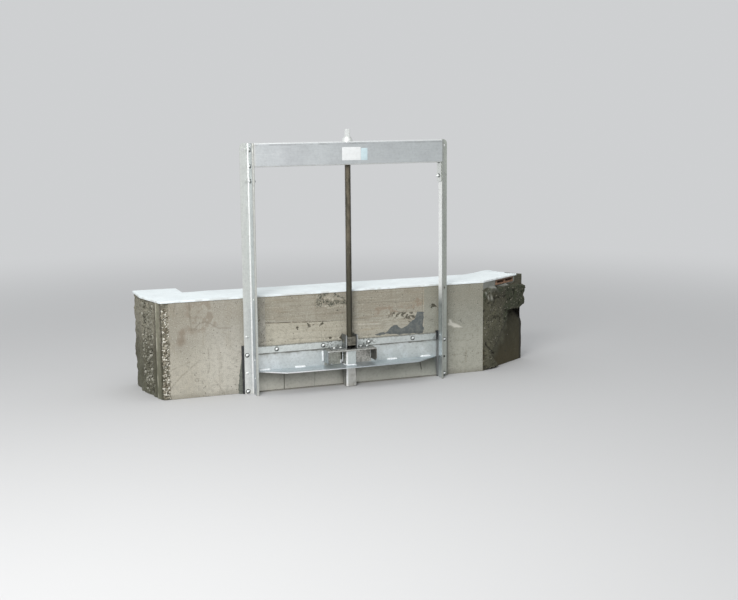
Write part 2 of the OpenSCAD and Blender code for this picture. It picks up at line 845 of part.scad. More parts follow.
headwall_left();
headwall_right();
headwall_lintel();
return_wall_left();
wing_wall_right();
wing_rubble();
hollow_brick();
wall_cap();
guide_left();
guide_right();
sill_plate();
post_left();
post_right();
anchors_left();
anchors_right();
yoke_channel();
yoke_leg_left();
yoke_leg_right();
yoke_bolts_left();
yoke_bolts_right();
yoke_stiffeners();
bearing_housing();
leaf_plate();
clamp_bar();
clamp_bolts();
top_seal();
bottom_seal();
bow_rib();
column_upper();
column_lower();
nut_shelf();
gusset_left();
gusset_right();
cheek_left();
cheek_right();
bracket_bolts();
stem_nut();
stem_rod();
lower_collar();
upper_collar();
drive_square();
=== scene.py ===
# %% [markdown]
# # A stainless sluice gate on its concrete headwall
# The packed model is the frame that everything else is fitted to: it comes in metres, with X along the
# wall, Y into the wall and Z up.

# %% Load the gate
import math
import bmesh
import bpy
import numpy as np
from mathutils import Matrix, Vector


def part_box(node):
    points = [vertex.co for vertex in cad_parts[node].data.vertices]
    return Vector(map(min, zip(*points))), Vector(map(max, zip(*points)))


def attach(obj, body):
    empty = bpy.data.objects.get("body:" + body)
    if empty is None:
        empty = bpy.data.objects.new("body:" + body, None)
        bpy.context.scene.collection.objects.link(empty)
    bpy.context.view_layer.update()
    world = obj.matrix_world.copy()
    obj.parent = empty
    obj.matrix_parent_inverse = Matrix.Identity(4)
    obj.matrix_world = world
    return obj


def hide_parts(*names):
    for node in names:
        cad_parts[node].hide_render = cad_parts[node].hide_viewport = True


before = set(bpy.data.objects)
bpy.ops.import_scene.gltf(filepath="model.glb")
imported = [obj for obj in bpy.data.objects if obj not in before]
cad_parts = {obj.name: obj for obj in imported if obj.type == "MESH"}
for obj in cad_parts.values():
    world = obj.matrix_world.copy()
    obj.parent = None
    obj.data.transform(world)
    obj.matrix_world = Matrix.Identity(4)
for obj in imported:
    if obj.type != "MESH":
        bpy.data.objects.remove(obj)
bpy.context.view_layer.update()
WALL, LEAF, SCREW = "frame_and_wall", "leaf", "screw"

# %% [markdown]
# ## Sizes from the model
# A piece that dresses a node has to stay where the node is. So its place is read from the node's box, and
# only what a box can't tell, such as the pitch of a row of bolts, is written as a number.

# %% Places read from the nodes
return_low, return_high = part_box("return_wall_left")
block_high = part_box("headwall_right")[1]
cap_low, cap_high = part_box("wall_cap")
guide_low, guide_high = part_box("guide_right")
rod_low, rod_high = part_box("stem_rod")
yoke_low, yoke_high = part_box("yoke_channel")
rib_low, rib_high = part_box("bow_rib")
bar_low, bar_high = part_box("clamp_bar")
shelf_low, shelf_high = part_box("nut_shelf")
column_low, column_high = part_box("column_upper")
wall_top = block_high.z
wall_back = block_high.y
corner_x = block_high.x
opening_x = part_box("headwall_lintel")[1].x
stem_y = (rod_low.y + rod_high.y) / 2
print("wall top", round(wall_top, 3), "stem axis", round(stem_y, 4), "opening to", round(opening_x, 3))

# %% Sizes that no box tells
# The wing's direction, and its length and thickness
wing_angle = math.radians(33)
wing_along = np.array([math.cos(wing_angle), math.sin(wing_angle)])
wing_inwards = np.array([-math.sin(wing_angle), math.cos(wing_angle)])
wing_length, wing_thickness = 0.455, 0.240
# The left arris stands this far in from the outer face, which starts at bend_y, after a splayed face
arris_in, bend_y, splay_length = 0.060, 0.240, 0.2474
# Thickness of the folded plate, and the distances of holes and faces from the middle of the gate
plate = 0.005
hole_x, web_outer, web_inner, leg_inner = 0.584, 0.553, 0.548, 0.536
flange_front = guide_low.y - plate
# Depths at which the posts fold from flange to web and from web to lip
fold_y, lip_y = -0.034, -0.092
print("flange front", round(flange_front, 4), "wing", wing_length, "by", wing_thickness)

# %% [markdown]
# ## Camera
# The gate was seen from the left, a little above its top, with a longer lens. The camera's three axes are
# worked out from its turn, its tilt and a slight lean, so that each of them can be changed alone.

# %% Camera at the photograph's place
turn, tilt, lean = math.radians(20.86), math.radians(9.11), math.radians(-0.47)
ahead = Vector((math.sin(turn) * math.cos(tilt), math.cos(turn) * math.cos(tilt), -math.sin(tilt)))
level = Vector((math.cos(turn), -math.sin(turn), 0))
upright = level.cross(ahead)
across = math.cos(lean) * level + math.sin(lean) * upright
above = math.cos(lean) * upright - math.sin(lean) * level
camera = bpy.data.objects.new("camera", bpy.data.cameras.new("camera"))
camera.data.lens = 60.83
camera.data.sensor_width = 36
camera.data.sensor_fit = "HORIZONTAL"
standpoint = Matrix.Translation((-2.325, -6.455, 1.575))
camera.matrix_world = standpoint @ Matrix((across, above, -ahead)).transposed().to_4x4()
bpy.context.scene.collection.objects.link(camera)
bpy.context.scene.camera = camera
print("camera at", [round(v, 3) for v in camera.location])

# %% [markdown]
# ## Repeatable roughness
# Cast concrete, broken stone and rolled plate are never even. Blender's own texture nodes only reach the
# shader, so the shapes get their unevenness from value noise: each whole-number cell of space has a fixed
# random value, and between the cells the values run smoothly. It gives the same surface on every run.

# %% Noise for shapes
def lattice(cells, seed):
    """A fixed random number from 0 to 1 for each cell, from its three whole numbers times large odd ones."""
    c = cells.astype(np.int64)
    h = (c[..., 0] * 73856093) ^ (c[..., 1] * 19349663) ^ (c[..., 2] * 83492791) ^ (seed * 26544357 + 97)
    h = h & 0xFFFFFFFF
    h = ((h ^ (h >> 15)) * 1274126177) & 0xFFFFFFFF
    h = ((h ^ (h >> 13)) * 461845907) & 0xFFFFFFFF
    return (h ^ (h >> 16)) / 0xFFFFFFFF


def noise(points, size, seed=0):
    """Value noise from -1 to 1: the eight corners of a point's cell, weighted by 3t^2 - 2t^3 on each axis."""
    scaled = points / size
    cell = np.floor(scaled)
    t = scaled - cell
    t = t * t * (3 - 2 * t)
    total = np.zeros(points.shape[:-1])
    for corner in np.ndindex(2, 2, 2):
        step = np.array(corner)
        weight = np.prod(np.where(step == 1, t, 1 - t), axis=-1)
        total += weight * lattice(cell + step, seed)
    return 2 * total - 1


def rough(points, size, octaves, seed):
    """A sum of noises, each half as large and half as high as the one before."""
    total, height = 0.0, 1.0
    for k in range(octaves):
        total = total + height * noise(points, size / 2**k, seed + k)
        height /= 2
    return total


def smooth(value, low, high):
    """0 below low, 1 above high, and 3t^2 - 2t^3 between them."""
    t = np.clip((value - low) / (high - low), 0, 1)
    return t * t * (3 - 2 * t)


print("noise at a point", noise(np.array([[0.1, 0.2, 0.3]]), 0.05).round(3))

# %% [markdown]
# ## From grids to pieces
# Every new piece is one or more grids of points. A grid's rows and columns already say which points are
# neighbours, so the faces follow from counting. Merging doubles closes the seams and poles, and after that
# the faces can be turned outwards and creased by angle.

# %% Faces and meshes from grids
def quads(rows, columns, wrap):
    """Each face: a point, the next one in its row, and the same two in the next row; wrap closes the rows."""
    i = np.arange(rows - 1)[:, None] * columns
    j = np.arange(columns if wrap else columns - 1)[None, :]
    k = (j + 1) % columns
    return np.stack([i + j, i + k, i + columns + k, i + columns + j], axis=-1).reshape(-1, 4)


def fill_mesh(name, points, faces):
    """A mesh from an array of points and an array of faces with the same number of corners."""
    mesh = bpy.data.meshes.new(name)
    mesh.vertices.add(len(points))
    mesh.vertices.foreach_set("co", points.astype(np.float32).ravel())
    mesh.loops.add(faces.size)
    mesh.loops.foreach_set("vertex_index", faces.astype(np.int32).ravel())
    mesh.polygons.add(len(faces))
    mesh.polygons.foreach_set("loop_start", np.arange(0, faces.size, faces.shape[1], dtype=np.int32))
    mesh.update(calc_edges=True)
    return mesh


def finish_piece(mesh, body, finish, stands_for, crease):
    """Smooths a mesh except over its creases, makes it an object and ties it to its body, slot and nodes."""
    mesh.polygons.foreach_set("use_smooth", np.ones(len(mesh.polygons), dtype=bool))
    mesh.set_sharp_from_angle(angle=math.radians(crease))
    mesh.materials.append(finish.material)
    piece = bpy.data.objects.new(mesh.name, mesh)
    bpy.context.scene.collection.objects.link(piece)
    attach(piece, body)
    if stands_for:
        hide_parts(*stands_for)
    print(mesh.name, len(mesh.vertices), "points", len(mesh.polygons), "faces")


print("two rings of four points make", len(quads(2, 4, True)), "faces")

# %% Pieces from grids
def turn_outwards(mesh, merge=False):
    """Turns every face outwards; with merge, points in one place become one first."""
    shell = bmesh.new()
    shell.from_mesh(mesh)
    if merge:
        bmesh.ops.remove_doubles(shell, verts=shell.verts, dist=1e-6)
    bmesh.ops.recalc_face_normals(shell, faces=shell.faces)
    shell.to_mesh(mesh)
    shell.free()


def add_mark(mesh, mark, values):
    """Keeps one number at each point, for a finish to read."""
    layer = mesh.attributes.new(mark, "FLOAT", "POINT")
    layer.data.foreach_set("value", values.astype(np.float32))


def make_piece(name, grids, body, finish, stands_for, crease, marks=None):
    """Joins grids of rings, each closed along its rows, into one closed mesh with its marks."""
    points, faces, first = [], [], 0
    for grid in grids:
        rows, columns = grid.shape[:2]
        points.append(grid.reshape(-1, 3))
        faces.append(quads(rows, columns, True) + first)
        first += rows * columns
    mesh = fill_mesh(name, np.concatenate(points), np.concatenate(faces))
    for mark, values in (marks or {}).items():
        add_mark(mesh, mark, np.concatenate([v.ravel() for v in values]))
    turn_outwards(mesh, True)
    finish_piece(mesh, body, finish, stands_for, crease)

# %% [markdown]
# ## Shader sums in plain Python
# A finish is a sum of patterns, so it reads best as one. The small class below wraps a socket and adds a
# Math node for each sign. The second class adds any other node by its type, settings and inputs. The third
# holds a material and its running colour: each coat is laid over the colour so far, as a share of a new
# shade.

# %% Wires and nodes
class Wire:
    """A socket that can stand in a sum."""

    def __init__(self, nodes, socket):
        self.nodes, self.socket = nodes, socket

    def sum(self, operation, a, b):
        return self.nodes.node("ShaderNodeMath", {"operation": operation}, {0: a, 1: b})

    def __add__(self, other):
        return self.sum("ADD", self, other)

    def __sub__(self, other):
        return self.sum("SUBTRACT", self, other)

    def __rsub__(self, other):
        return self.sum("SUBTRACT", other, self)

    def __mul__(self, other):
        return self.sum("MULTIPLY", self, other)

    def __abs__(self):
        return self.sum("ABSOLUTE", self, 0.0)

    def most(self, other):
        return self.sum("MAXIMUM", self, other)

    def least(self, other):
        return self.sum("MINIMUM", self, other)

    __radd__ = __add__
    __rmul__ = __mul__


class Nodes:
    """A node tree, and short ways to add to it."""

    def __init__(self, tree):
        self.tree = tree

    def node(self, kind, settings=None, inputs=None, out=0):
        made = self.tree.nodes.new(kind)
        for key, value in (settings or {}).items():
            if key == "stops":
                ramp = made.color_ramp
                while len(ramp.elements) < len(value):
                    ramp.elements.new(1.0)
                for stop, (place, shade) in zip(ramp.elements, value):
                    stop.position = place
                    stop.color = (*shade, 1.0)
            else:
                setattr(made, key, value)
        for key, value in (inputs or {}).items():
            self.feed(made.inputs[key], value)
        return Wire(self, made.outputs[out])

    def feed(self, socket, value):
        if isinstance(value, Wire):
            self.tree.links.new(value.socket, socket)
        elif isinstance(value, tuple) and socket.type == "RGBA":
            socket.default_value = (*value, 1.0)
        else:
            socket.default_value = value

    def blend(self, factor, a, b, kind="MIX"):
        settings = {"data_type": "RGBA", "blend_type": kind}
        return self.node("ShaderNodeMix", settings, {0: factor, 6: a, 7: b}, 2)

    def rays(self):
        """1 for rays from the camera, and 1 for those and the rays that mirrors and clear bodies send on."""
        path = self.node("ShaderNodeLightPath").socket.node
        kinds = ("Is Camera Ray", "Is Glossy Ray", "Is Transmission Ray")
        eye, mirrored, clear = [Wire(self, path.outputs[kind]) for kind in kinds]
        return eye, eye.most(mirrored).most(clear)


print("sums of sockets use", [name for name in vars(Wire) if name in ("most", "least", "__add__", "__mul__")])

# %% Finishes
class Finish(Nodes):
    """One material: its surface shader, the nodes that feed it, and the colour that it has so far."""

    def __init__(self, name, colour, roughness, metallic=0.0):
        self.material = bpy.data.materials.new(name)
        self.material.use_nodes = True
        super().__init__(self.material.node_tree)
        self.surface = self.tree.nodes["Principled BSDF"]
        self.place = self.node("ShaderNodeTexCoord", out="Object")
        self.places = self.node("ShaderNodeSeparateXYZ", None, {0: self.place}).socket.node
        self.tint = self.colour = colour
        self.dull = 0.0
        self.show(roughness, metallic)

    def show(self, roughness=None, metallic=None):
        """Feeds the colour so far, and any other value that is given, to the surface."""
        for key, value in (("Base Color", self.colour), ("Roughness", roughness), ("Metallic", metallic)):
            if value is not None:
                self.feed(self.surface.inputs[key], value)

    def coat(self, share, shade):
        """Lays a share of a shade over the colour so far."""
        self.colour = self.blend(share, self.colour, shade)

    def times(self, shade):
        """The colour so far, multiplied."""
        return self.blend(1.0, self.colour, shade, "MULTIPLY")

    def stretched(self, x, y, z):
        return self.node("ShaderNodeMapping", None, {"Vector": self.place, "Scale": (x, y, z)})

    def cloud(self, scale, detail=3.0, rough=0.5, place=None):
        inputs = {"Vector": place or self.place, "Scale": scale, "Detail": detail, "Roughness": rough}
        return self.node("ShaderNodeTexNoise", None, inputs)

    def cells(self, scale, out="Distance"):
        return self.node("ShaderNodeTexVoronoi", None, {"Vector": self.place, "Scale": scale}, out)

    def mark(self, name):
        return self.node("ShaderNodeAttribute", {"attribute_name": name}, out="Fac")

    def band(self, value, low, high):
        """0 below low, 1 above high, and smooth between them."""
        inputs = {"Value": value, "From Min": low, "From Max": high}
        return self.node("ShaderNodeMapRange", {"interpolation_type": "SMOOTHSTEP"}, inputs)

    def within(self, value, low, high, soft):
        """1 from low to high and 0 outside, running over a soft width at both ends."""
        half = soft / 2
        return self.band(value, low - half, low + half) * (1 - self.band(value, high - half, high + half))

    def axis(self, name):
        return Wire(self, self.places.outputs[name])

    def near(self, points):
        """Distance to the nearest of some points."""
        nearest = None
        for point in points:
            inputs = {0: self.place, 1: point}
            away = self.node("ShaderNodeVectorMath", {"operation": "DISTANCE"}, inputs, "Value")
            nearest = nearest.least(away) if nearest else away
        return nearest

    def ramp(self, value, *stops):
        return self.node("ShaderNodeValToRGB", {"stops": stops}, {0: value})

    def raise_by(self, height, distance, strength=1.0):
        inputs = {"Height": height, "Distance": distance, "Strength": strength}
        self.feed(self.surface.inputs["Normal"], self.node("ShaderNodeBump", None, inputs))


def grey(level):
    return (level, level, level)


def scaled(shade, share):
    return tuple(share * v for v in shade)


print("helpers are ready, grey of a half", scaled(grey(1.0), 0.5))

# %% [markdown]
# ## Cast concrete
# The headwall is new concrete: fine, warm grey, with clouds from the wet shutter, small air holes, brown
# drips and the silt that the canal leaves near the water. The clouds are two sizes of noise, the air holes
# are the middles of random cells. Putty, smears, specks and stains are marks stored at the points, because
# they follow the wall and not a pattern. The wall's tone fades a little at its far left end.

# %% Concrete
def board_coats(f):
    """Wood grain along X in dark and pale, fine lines, a pale lowest board, and its two edges."""
    wood = f.cloud(15.0, 5.0, 0.72, f.stretched(0.3, 1, 6.0))
    f.coat(f.band(wood, 0.5, 0.66) * 0.6, (0.25, 0.205, 0.145))
    f.coat(f.band(wood, 0.36, 0.46) * -0.6 + 0.6, (0.56, 0.53, 0.45))
    lines = f.cloud(40.0, 4.0, 0.75, f.stretched(0.12, 1, 6.0))
    f.coat(f.band(lines, 0.52, 0.62) * 0.45, (0.2, 0.165, 0.11))
    fall = f.axis("Z") + 0.045 * f.axis("X")
    lower = (1 - f.band(fall, 0.353, 0.36)) * (1 - f.band(f.axis("X"), -0.1, 0.25))
    f.coat(lower * 0.42, (0.66, 0.62, 0.5))
    edge = fall + 0.004 * f.cloud(25.0, 2.0)
    joint = (1 - f.band(abs(edge - 0.3595), 0.0012, 0.0034)) * f.within(f.axis("X"), -0.52, -0.11, 0.04)
    f.coat(joint * f.band(f.cloud(45.0, 3.0), 0.32, 0.5) * 0.85, (0.07, 0.06, 0.042))
    ridge = (1 - f.band(abs(edge - 0.3385), 0.001, 0.0035)) * f.within(f.axis("X"), 0.03, 0.2, 0.02)
    f.coat(ridge * 0.7, (0.68, 0.65, 0.57))


def mark_coats(f):
    """The marks of the face: flat tones for some, and a spray of dots for those that fade out."""
    f.coat(f.mark("brown") * 0.6, (0.22, 0.17, 0.12))
    f.coat(f.mark("chip") * 0.8, (0.72, 0.7, 0.62))
    spray = f.cloud(115.0, 4.0, 0.75)
    for mark, shade, share, cover in (
        ("pink", (0.29, 0.215, 0.155), 0.65, 0.42),
        ("bloom", (0.56, 0.54, 0.45), 0.7, 0.4),
        ("speck", (0.06, 0.054, 0.036), 0.9, 0.38),
        ("smear", (0.045, 0.055, 0.037), 0.85, 0.28),
    ):
        f.coat(f.band(f.mark(mark) * cover + spray, 0.72, 0.83) * share, shade)
    f.coat(f.mark("line") * 0.36, (0.12, 0.1, 0.07))
    patch = f.blend(f.band(f.cloud(38.0, 4.0, 0.7), 0.42, 0.62), (0.105, 0.12, 0.122), (0.165, 0.178, 0.17))
    f.coat(f.band(f.mark("putty") * 0.8 + spray * 0.5, 0.5, 0.62) * 0.95, patch)


print("coats for boards and marks are ready")

# %% Concrete with all its coats
def concrete_finish(name, pale, dark, warm, boards):
    """Clouds, warm patches, a paler foot, flecks, pores, drips, marks and damp; boards adds wood grain."""
    f = Finish(name, pale, 0.88)
    clouds = f.band(f.cloud(5.5, 5.0, 0.6), 0.34, 0.66)
    streaks = f.cloud(9.0, 4.0, 0.65, f.stretched(0.35, 1, 3.2) if boards else f.stretched(1.4, 1, 0.7))
    fine = f.cloud(38.0, 5.0, 0.72)
    grain = f.cloud(900.0, 2.0, 0.6)
    f.colour = f.blend(clouds * 0.55, pale, dark)
    f.coat(f.band(streaks, 0.5, 0.72) * 0.6, warm)
    if boards:
        board_coats(f)
    low = 1 - f.band(f.axis("Z") + 0.12 * f.cloud(6.0, 3.0), 0.22, 0.4)
    f.coat(low * 0.6, scaled(pale, 1.36))
    far_left = 1 - f.band(f.axis("X"), -0.92, -0.7)
    f.coat(far_left, f.times((0.85, 0.835, 0.8)))
    f.coat(f.band(f.axis("Z") + 0.12 * f.cloud(5.0, 3.0), 0.38, 0.52) * 0.3, (0.27, 0.235, 0.17))
    f.coat(f.band(fine, 0.48, 0.62) * 0.5, dark)
    fleck = f.cloud(150.0, 4.0, 0.75)
    f.coat(f.band(fleck, 0.54, 0.67) * 0.6, scaled(dark, 0.5))
    f.coat((1 - f.band(fleck, 0.33, 0.45)) * 0.5, scaled(pale, 1.5))
    f.coat(f.band(grain, 0.45, 0.7) * 0.3, scaled(dark, 0.55))
    pores = 1 - f.band(f.cells(60.0), 0.1, 0.19)
    pores = pores * f.band(f.cloud(14.0, 2.0), 0.46, 0.6)
    f.coat(pores * 0.85, scaled(dark, 0.22))
    drips = f.band(f.cloud(14.0, 3.0, 0.6, f.stretched(2.2, 1, 0.25)), 0.58, 0.74)
    f.coat(drips * 0.25, (0.2, 0.165, 0.11))
    mark_coats(f)
    # A dark line just under the wall's top: painted shadow under the mortar bed.
    f.coat(f.band(f.axis("Z"), wall_top - 0.006, wall_top - 0.001) * 0.55, (0.12, 0.11, 0.085))
    damp = 1 - f.band(f.axis("Z") + 0.03 * f.cloud(12.0, 4.0), 0.018, 0.055)
    f.coat(damp * 0.35, (0.13, 0.115, 0.08))
    f.show(0.92 - 0.3 * damp)
    f.raise_by(fine * 0.5 + grain * 0.3 - pores * 1.2 + clouds * 0.6, 0.0012)
    return f


wall_tones = (0.49, 0.47, 0.41), (0.36, 0.34, 0.29), (0.4, 0.36, 0.29)
wall_finish = concrete_finish("cast_wall", *wall_tones, False)
# The right block's tones are darker: partly its own concrete, partly painted shade.
right_tones = (0.38, 0.375, 0.32), (0.28, 0.28, 0.23), (0.3, 0.29, 0.23)
right_wall_finish = concrete_finish("cast_wall_right", *right_tones, False)
board_tones = (0.46, 0.44, 0.37), (0.32, 0.295, 0.235), (0.4, 0.34, 0.25)
board_finish = concrete_finish("board_wall", *board_tones, True)
print("concrete finishes", [f.material.name for f in (wall_finish, right_wall_finish, board_finish)])

# %% [markdown]
# ## Old concrete, mortar and brick
# The wing and the left arris are old, lean concrete with its stones laid bare. Under a thin green-brown
# skin each stone has its own tone. The stones that stand out are small meshes of their own, whose finish
# takes their tone from a mark, and between them the wall's finish carries on the same mix with cells of two
# sizes.

# %% Old concrete
def old_finish(name, skin, stone, shade):
    """Stones as cells with their own tone under a clouded skin; smooth panels, moss and painted shade in
    hollows by marks.
    """
    f = Finish(name, skin, 0.93)
    skin_cloud = f.band(f.cloud(9.0, 5.0, 0.65), 0.35, 0.68)
    tones = f.node("ShaderNodeSeparateXYZ", None, {0: f.cells(140.0, "Color")}, "X")
    gaps = 1 - f.band(f.cells(140.0), 0.2, 0.5)
    small = f.cells(260.0)
    f.colour = f.blend(skin_cloud, skin, shade)
    stones = f.ramp(tones, (0.0, scaled(stone, 0.45)), (0.55, stone), (0.95, scaled(stone, 1.6)))
    f.coat(f.mark("light") * 0.7, f.blend(skin_cloud, (0.135, 0.13, 0.085), (0.09, 0.088, 0.056)))
    f.coat(gaps * (1 - f.mark("panel")) * 0.4, stones)
    f.coat(f.band(f.cloud(70.0, 4.0, 0.7), 0.5, 0.7) * 0.5, scaled(shade, 0.4))
    dry = f.band(f.axis("Z") + 0.1 * f.cloud(8.0, 3.0), 0.08, 0.26)
    panel = f.blend(dry, (0.064, 0.053, 0.025), (0.041, 0.037, 0.018))
    panel = f.blend(f.band(f.cloud(28.0, 4.0, 0.65), 0.5, 0.7) * 0.5, panel, (0.078, 0.072, 0.04))
    f.coat(f.mark("panel") * 0.88, panel)
    f.coat(f.mark("pale"), f.blend(skin_cloud, (0.31, 0.32, 0.29), (0.22, 0.225, 0.2)))
    f.coat(f.mark("moss") * 0.85, (0.04, 0.048, 0.024))
    f.coat(f.mark("streak") * 0.7, (0.42, 0.42, 0.37))
    # Painted shade where the hollow mark is strong.
    f.coat(f.mark("hollow") * 0.92, (0.014, 0.013, 0.01))
    f.show()
    f.raise_by(gaps * 0.6 + small * 0.4 + skin_cloud * 0.4, 0.002)
    return f


wing_finish = old_finish("old_wing", (0.095, 0.09, 0.058), (0.12, 0.115, 0.08), (0.05, 0.048, 0.03))
print("old concrete", wing_finish.material.name)

# %% Loose stones
def stone_finish(name, low, middle, high):
    """Each stone's own tone runs through three colours, with a fine mottle."""
    f = Finish(name, middle, 0.85)
    f.colour = f.ramp(f.mark("tone"), (0.0, low), (0.5, middle), (1.0, high))
    mottle = f.cloud(240.0, 3.0, 0.6)
    f.coat(f.band(mottle, 0.45, 0.75) * 0.5, scaled(low, 0.5))
    f.show()
    f.raise_by(mottle, 0.0008)
    return f


grey_stones = stone_finish("grey_stones", (0.07, 0.065, 0.045), (0.2, 0.195, 0.15), (0.44, 0.43, 0.37))
pale_stones = stone_finish("pale_stones", (0.13, 0.11, 0.075), (0.36, 0.33, 0.26), (0.8, 0.78, 0.7))
dark_stones = stone_finish("dark_stones", (0.03, 0.028, 0.018), (0.075, 0.07, 0.048), (0.22, 0.21, 0.165))


print("stones in", [f.material.name for f in (grey_stones, pale_stones, dark_stones)])

# %% Mortar and brick
def mortar_finish():
    """Near-white trowelled mortar: wide clouds, trowel strokes, sand grains and a little dirt at the rims."""
    f = Finish("pale_mortar", (0.78, 0.8, 0.79), 0.9)
    clouds = f.band(f.cloud(7.0, 5.0, 0.6), 0.35, 0.7)
    strokes = f.cloud(14.0, 3.0, 0.6, f.stretched(0.5, 2.5, 1))
    sand = f.cloud(350.0, 2.0, 0.6)
    f.colour = f.blend(clouds * 0.5, (0.85, 0.91, 0.92), (0.74, 0.79, 0.8))
    f.coat(f.band(f.axis("X"), -0.5, 0.7) * 0.85, (0.93, 0.99, 1.0))
    f.coat(f.band(strokes, 0.55, 0.75) * 0.3, (0.6, 0.62, 0.61))
    f.coat(f.band(sand, 0.55, 0.75) * 0.25, (0.5, 0.51, 0.49))
    f.coat(f.mark("edge") * 0.4, (0.42, 0.41, 0.37))
    f.show()
    f.raise_by(strokes * 0.7 + sand * 0.3, 0.002)
    return f


def brick_finish():
    """Fired clay gone dark: brown above, a brighter broken edge below, clouds and grit."""
    f = Finish("fired_clay", (0.3, 0.13, 0.07), 0.9)
    low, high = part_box("hollow_brick")
    clouds = f.band(f.cloud(35.0, 4.0, 0.65), 0.35, 0.68)
    grit = f.cloud(400.0, 3.0, 0.6)
    upper = f.band(f.axis("Z") + 0.01 * f.cloud(30.0, 3.0), low.z + 0.012, low.z + 0.024)
    f.colour = f.blend(clouds, (0.34, 0.2, 0.125), (0.22, 0.12, 0.075))
    f.coat(upper * 0.85, (0.085, 0.055, 0.038))
    f.coat(f.band(grit, 0.5, 0.75) * 0.4, (0.4, 0.26, 0.17))
    f.show()
    f.raise_by(grit + clouds, 0.0015)
    return f


mortar = mortar_finish()
brick = brick_finish()
print("old concrete, stones, mortar and brick are ready")

# %% [markdown]
# ## Stainless plate
# The gate is pickled stainless plate. It is dull and even, with a faint rolling grain along each folded
# strip, water stains, dust on the lower ends, and a silt line near the water. Most of its brightness is a
# blurred reflection, so it stays a metal, with clouds in its roughness.

# %% Stainless
def plate_finish(name, tint, grain, stain=0.3, roughness=0.34, silt_top=0.1, own=None):
    """Rolled grain along one axis, clouds, spots and silt low down; own adds what one piece alone shows."""
    f = Finish(name, tint, roughness, 0.82)
    along = {"X": (3, 90, 90), "Y": (90, 3, 90), "Z": (90, 90, 3)}[grain]
    grain_lines = f.cloud(6.0, 4.0, 0.7, f.stretched(*along))
    clouds = f.band(f.cloud(7.0, 4.0, 0.6), 0.35, 0.7)
    mottle = f.band(f.cloud(75.0, 4.0, 0.7), 0.44, 0.66)
    spots = f.band(f.cloud(48.0, 4.0, 0.65), 0.57, 0.72)
    if own:
        own(f)
    f.coat(clouds * 0.3, f.times(grey(0.78)))
    f.coat(f.band(grain_lines, 0.4, 0.75) * 0.35, f.times(grey(0.7)))
    f.coat(mottle * (0.2 + 0.8 * stain), f.times(grey(0.76)))
    f.coat(spots * stain * 0.6, (0.24, 0.235, 0.21))
    height = f.axis("Z") + 0.06 * f.cloud(18.0, 4.0, 0.6)
    silt = 1 - f.band(height, 0.03, 0.03 + silt_top)
    f.coat(silt * 0.2, (0.46, 0.43, 0.36))
    metallic = 0.85 - 0.3 * silt - 0.2 * spots - 0.5 * f.dull
    f.show(roughness + 0.12 * clouds + 0.2 * silt + 0.2 * spots, metallic)
    f.raise_by(grain_lines * 0.4 + clouds, 0.0009, 0.6)
    return f


print("plate finishes take a tint, the axis of the grain and their own shades")

# %% [markdown]
# ## What each plate shows
# One steel looks different on every face, because each face mirrors another part of the sky or of the
# ground, and water leaves its own marks on each. So every plate adds painted reflections, highlights and
# shade of its own, and its marks, told apart by where the surface lies.

# %% Posts and yoke
def post_shades(f, side):
    """Painted reflections and highlights: flange, web and lip by distance from the middle; fold line and
    inner web by depth.
    """
    x, y, z = f.axis("X") * side, f.axis("Y"), f.axis("Z")
    past_fold = f.band(y, fold_y - 0.0005, fold_y + 0.0005)
    web = f.within(x, web_outer - 0.0006, web_outer + 0.0006, 0.0004) * (1 - past_fold)
    inside = f.within(x, web_inner - 0.0006, web_inner + 0.0006, 0.0004)
    inside = inside * f.band(y, lip_y + 0.0002, lip_y + 0.0008)
    fold = f.within(x, web_outer - 0.0006, web_outer + 0.0058, 0.0008) * past_fold
    lip = 1 - f.band(y, lip_y - 0.0005, lip_y + 0.0005)
    # above: over the wall's top, where the webs show a painted reflection of the sky.
    above = f.band(z + 0.05 * f.cloud(20.0, 3.0), 0.43, 0.57)
    wisps = f.band(f.cloud(30.0, 3.0, 0.6, f.stretched(4.0, 4.0, 0.12)), 0.5, 0.64)
    low_web = f.blend(wisps * 0.7, (0.54, 0.6, 0.63), (0.93, 0.96, 0.97))
    # The left flange is lighter low down; the right one gets painted light towards its top.
    if side < 0:
        f.coat((1 - f.band(z, 0.05, 0.4)) * 0.9, (0.9, 0.92, 0.89))
    else:
        f.coat(f.band(z, 0.9, 1.3) * 0.5, scaled(f.tint, 1.35))
    # Painted reflection on the web's outer side: darker below the wall's top, lighter above.
    f.coat(web, f.blend(above, (0.42, 0.455, 0.49), (0.57, 0.61, 0.62)))
    # Painted reflection on the web's inner side, near white above and streaked below, made less metallic so
    # it shows.
    f.coat(inside, f.blend(above, low_web, (0.96, 0.97, 0.95)))
    f.dull = inside * above * 1.6
    # A painted highlight along the left post's fold; the lips get a plain tone, darker on the shaded right
    # post.
    if side < 0:
        f.coat(fold, (0.97, 0.98, 0.97))
        f.coat(lip, f.blend(above, (0.52, 0.54, 0.51), (0.51, 0.52, 0.49)))
    else:
        f.coat(lip, (0.42, 0.44, 0.41))
    holes = [(side * hole_x, flange_front, height) for height in (0.014, 0.214)]
    grime = 1 - f.band(f.near(holes) + 0.004 * f.cloud(90.0, 3.0), 0.0125, 0.0175)
    f.coat(grime * 0.55, grey(0.13))


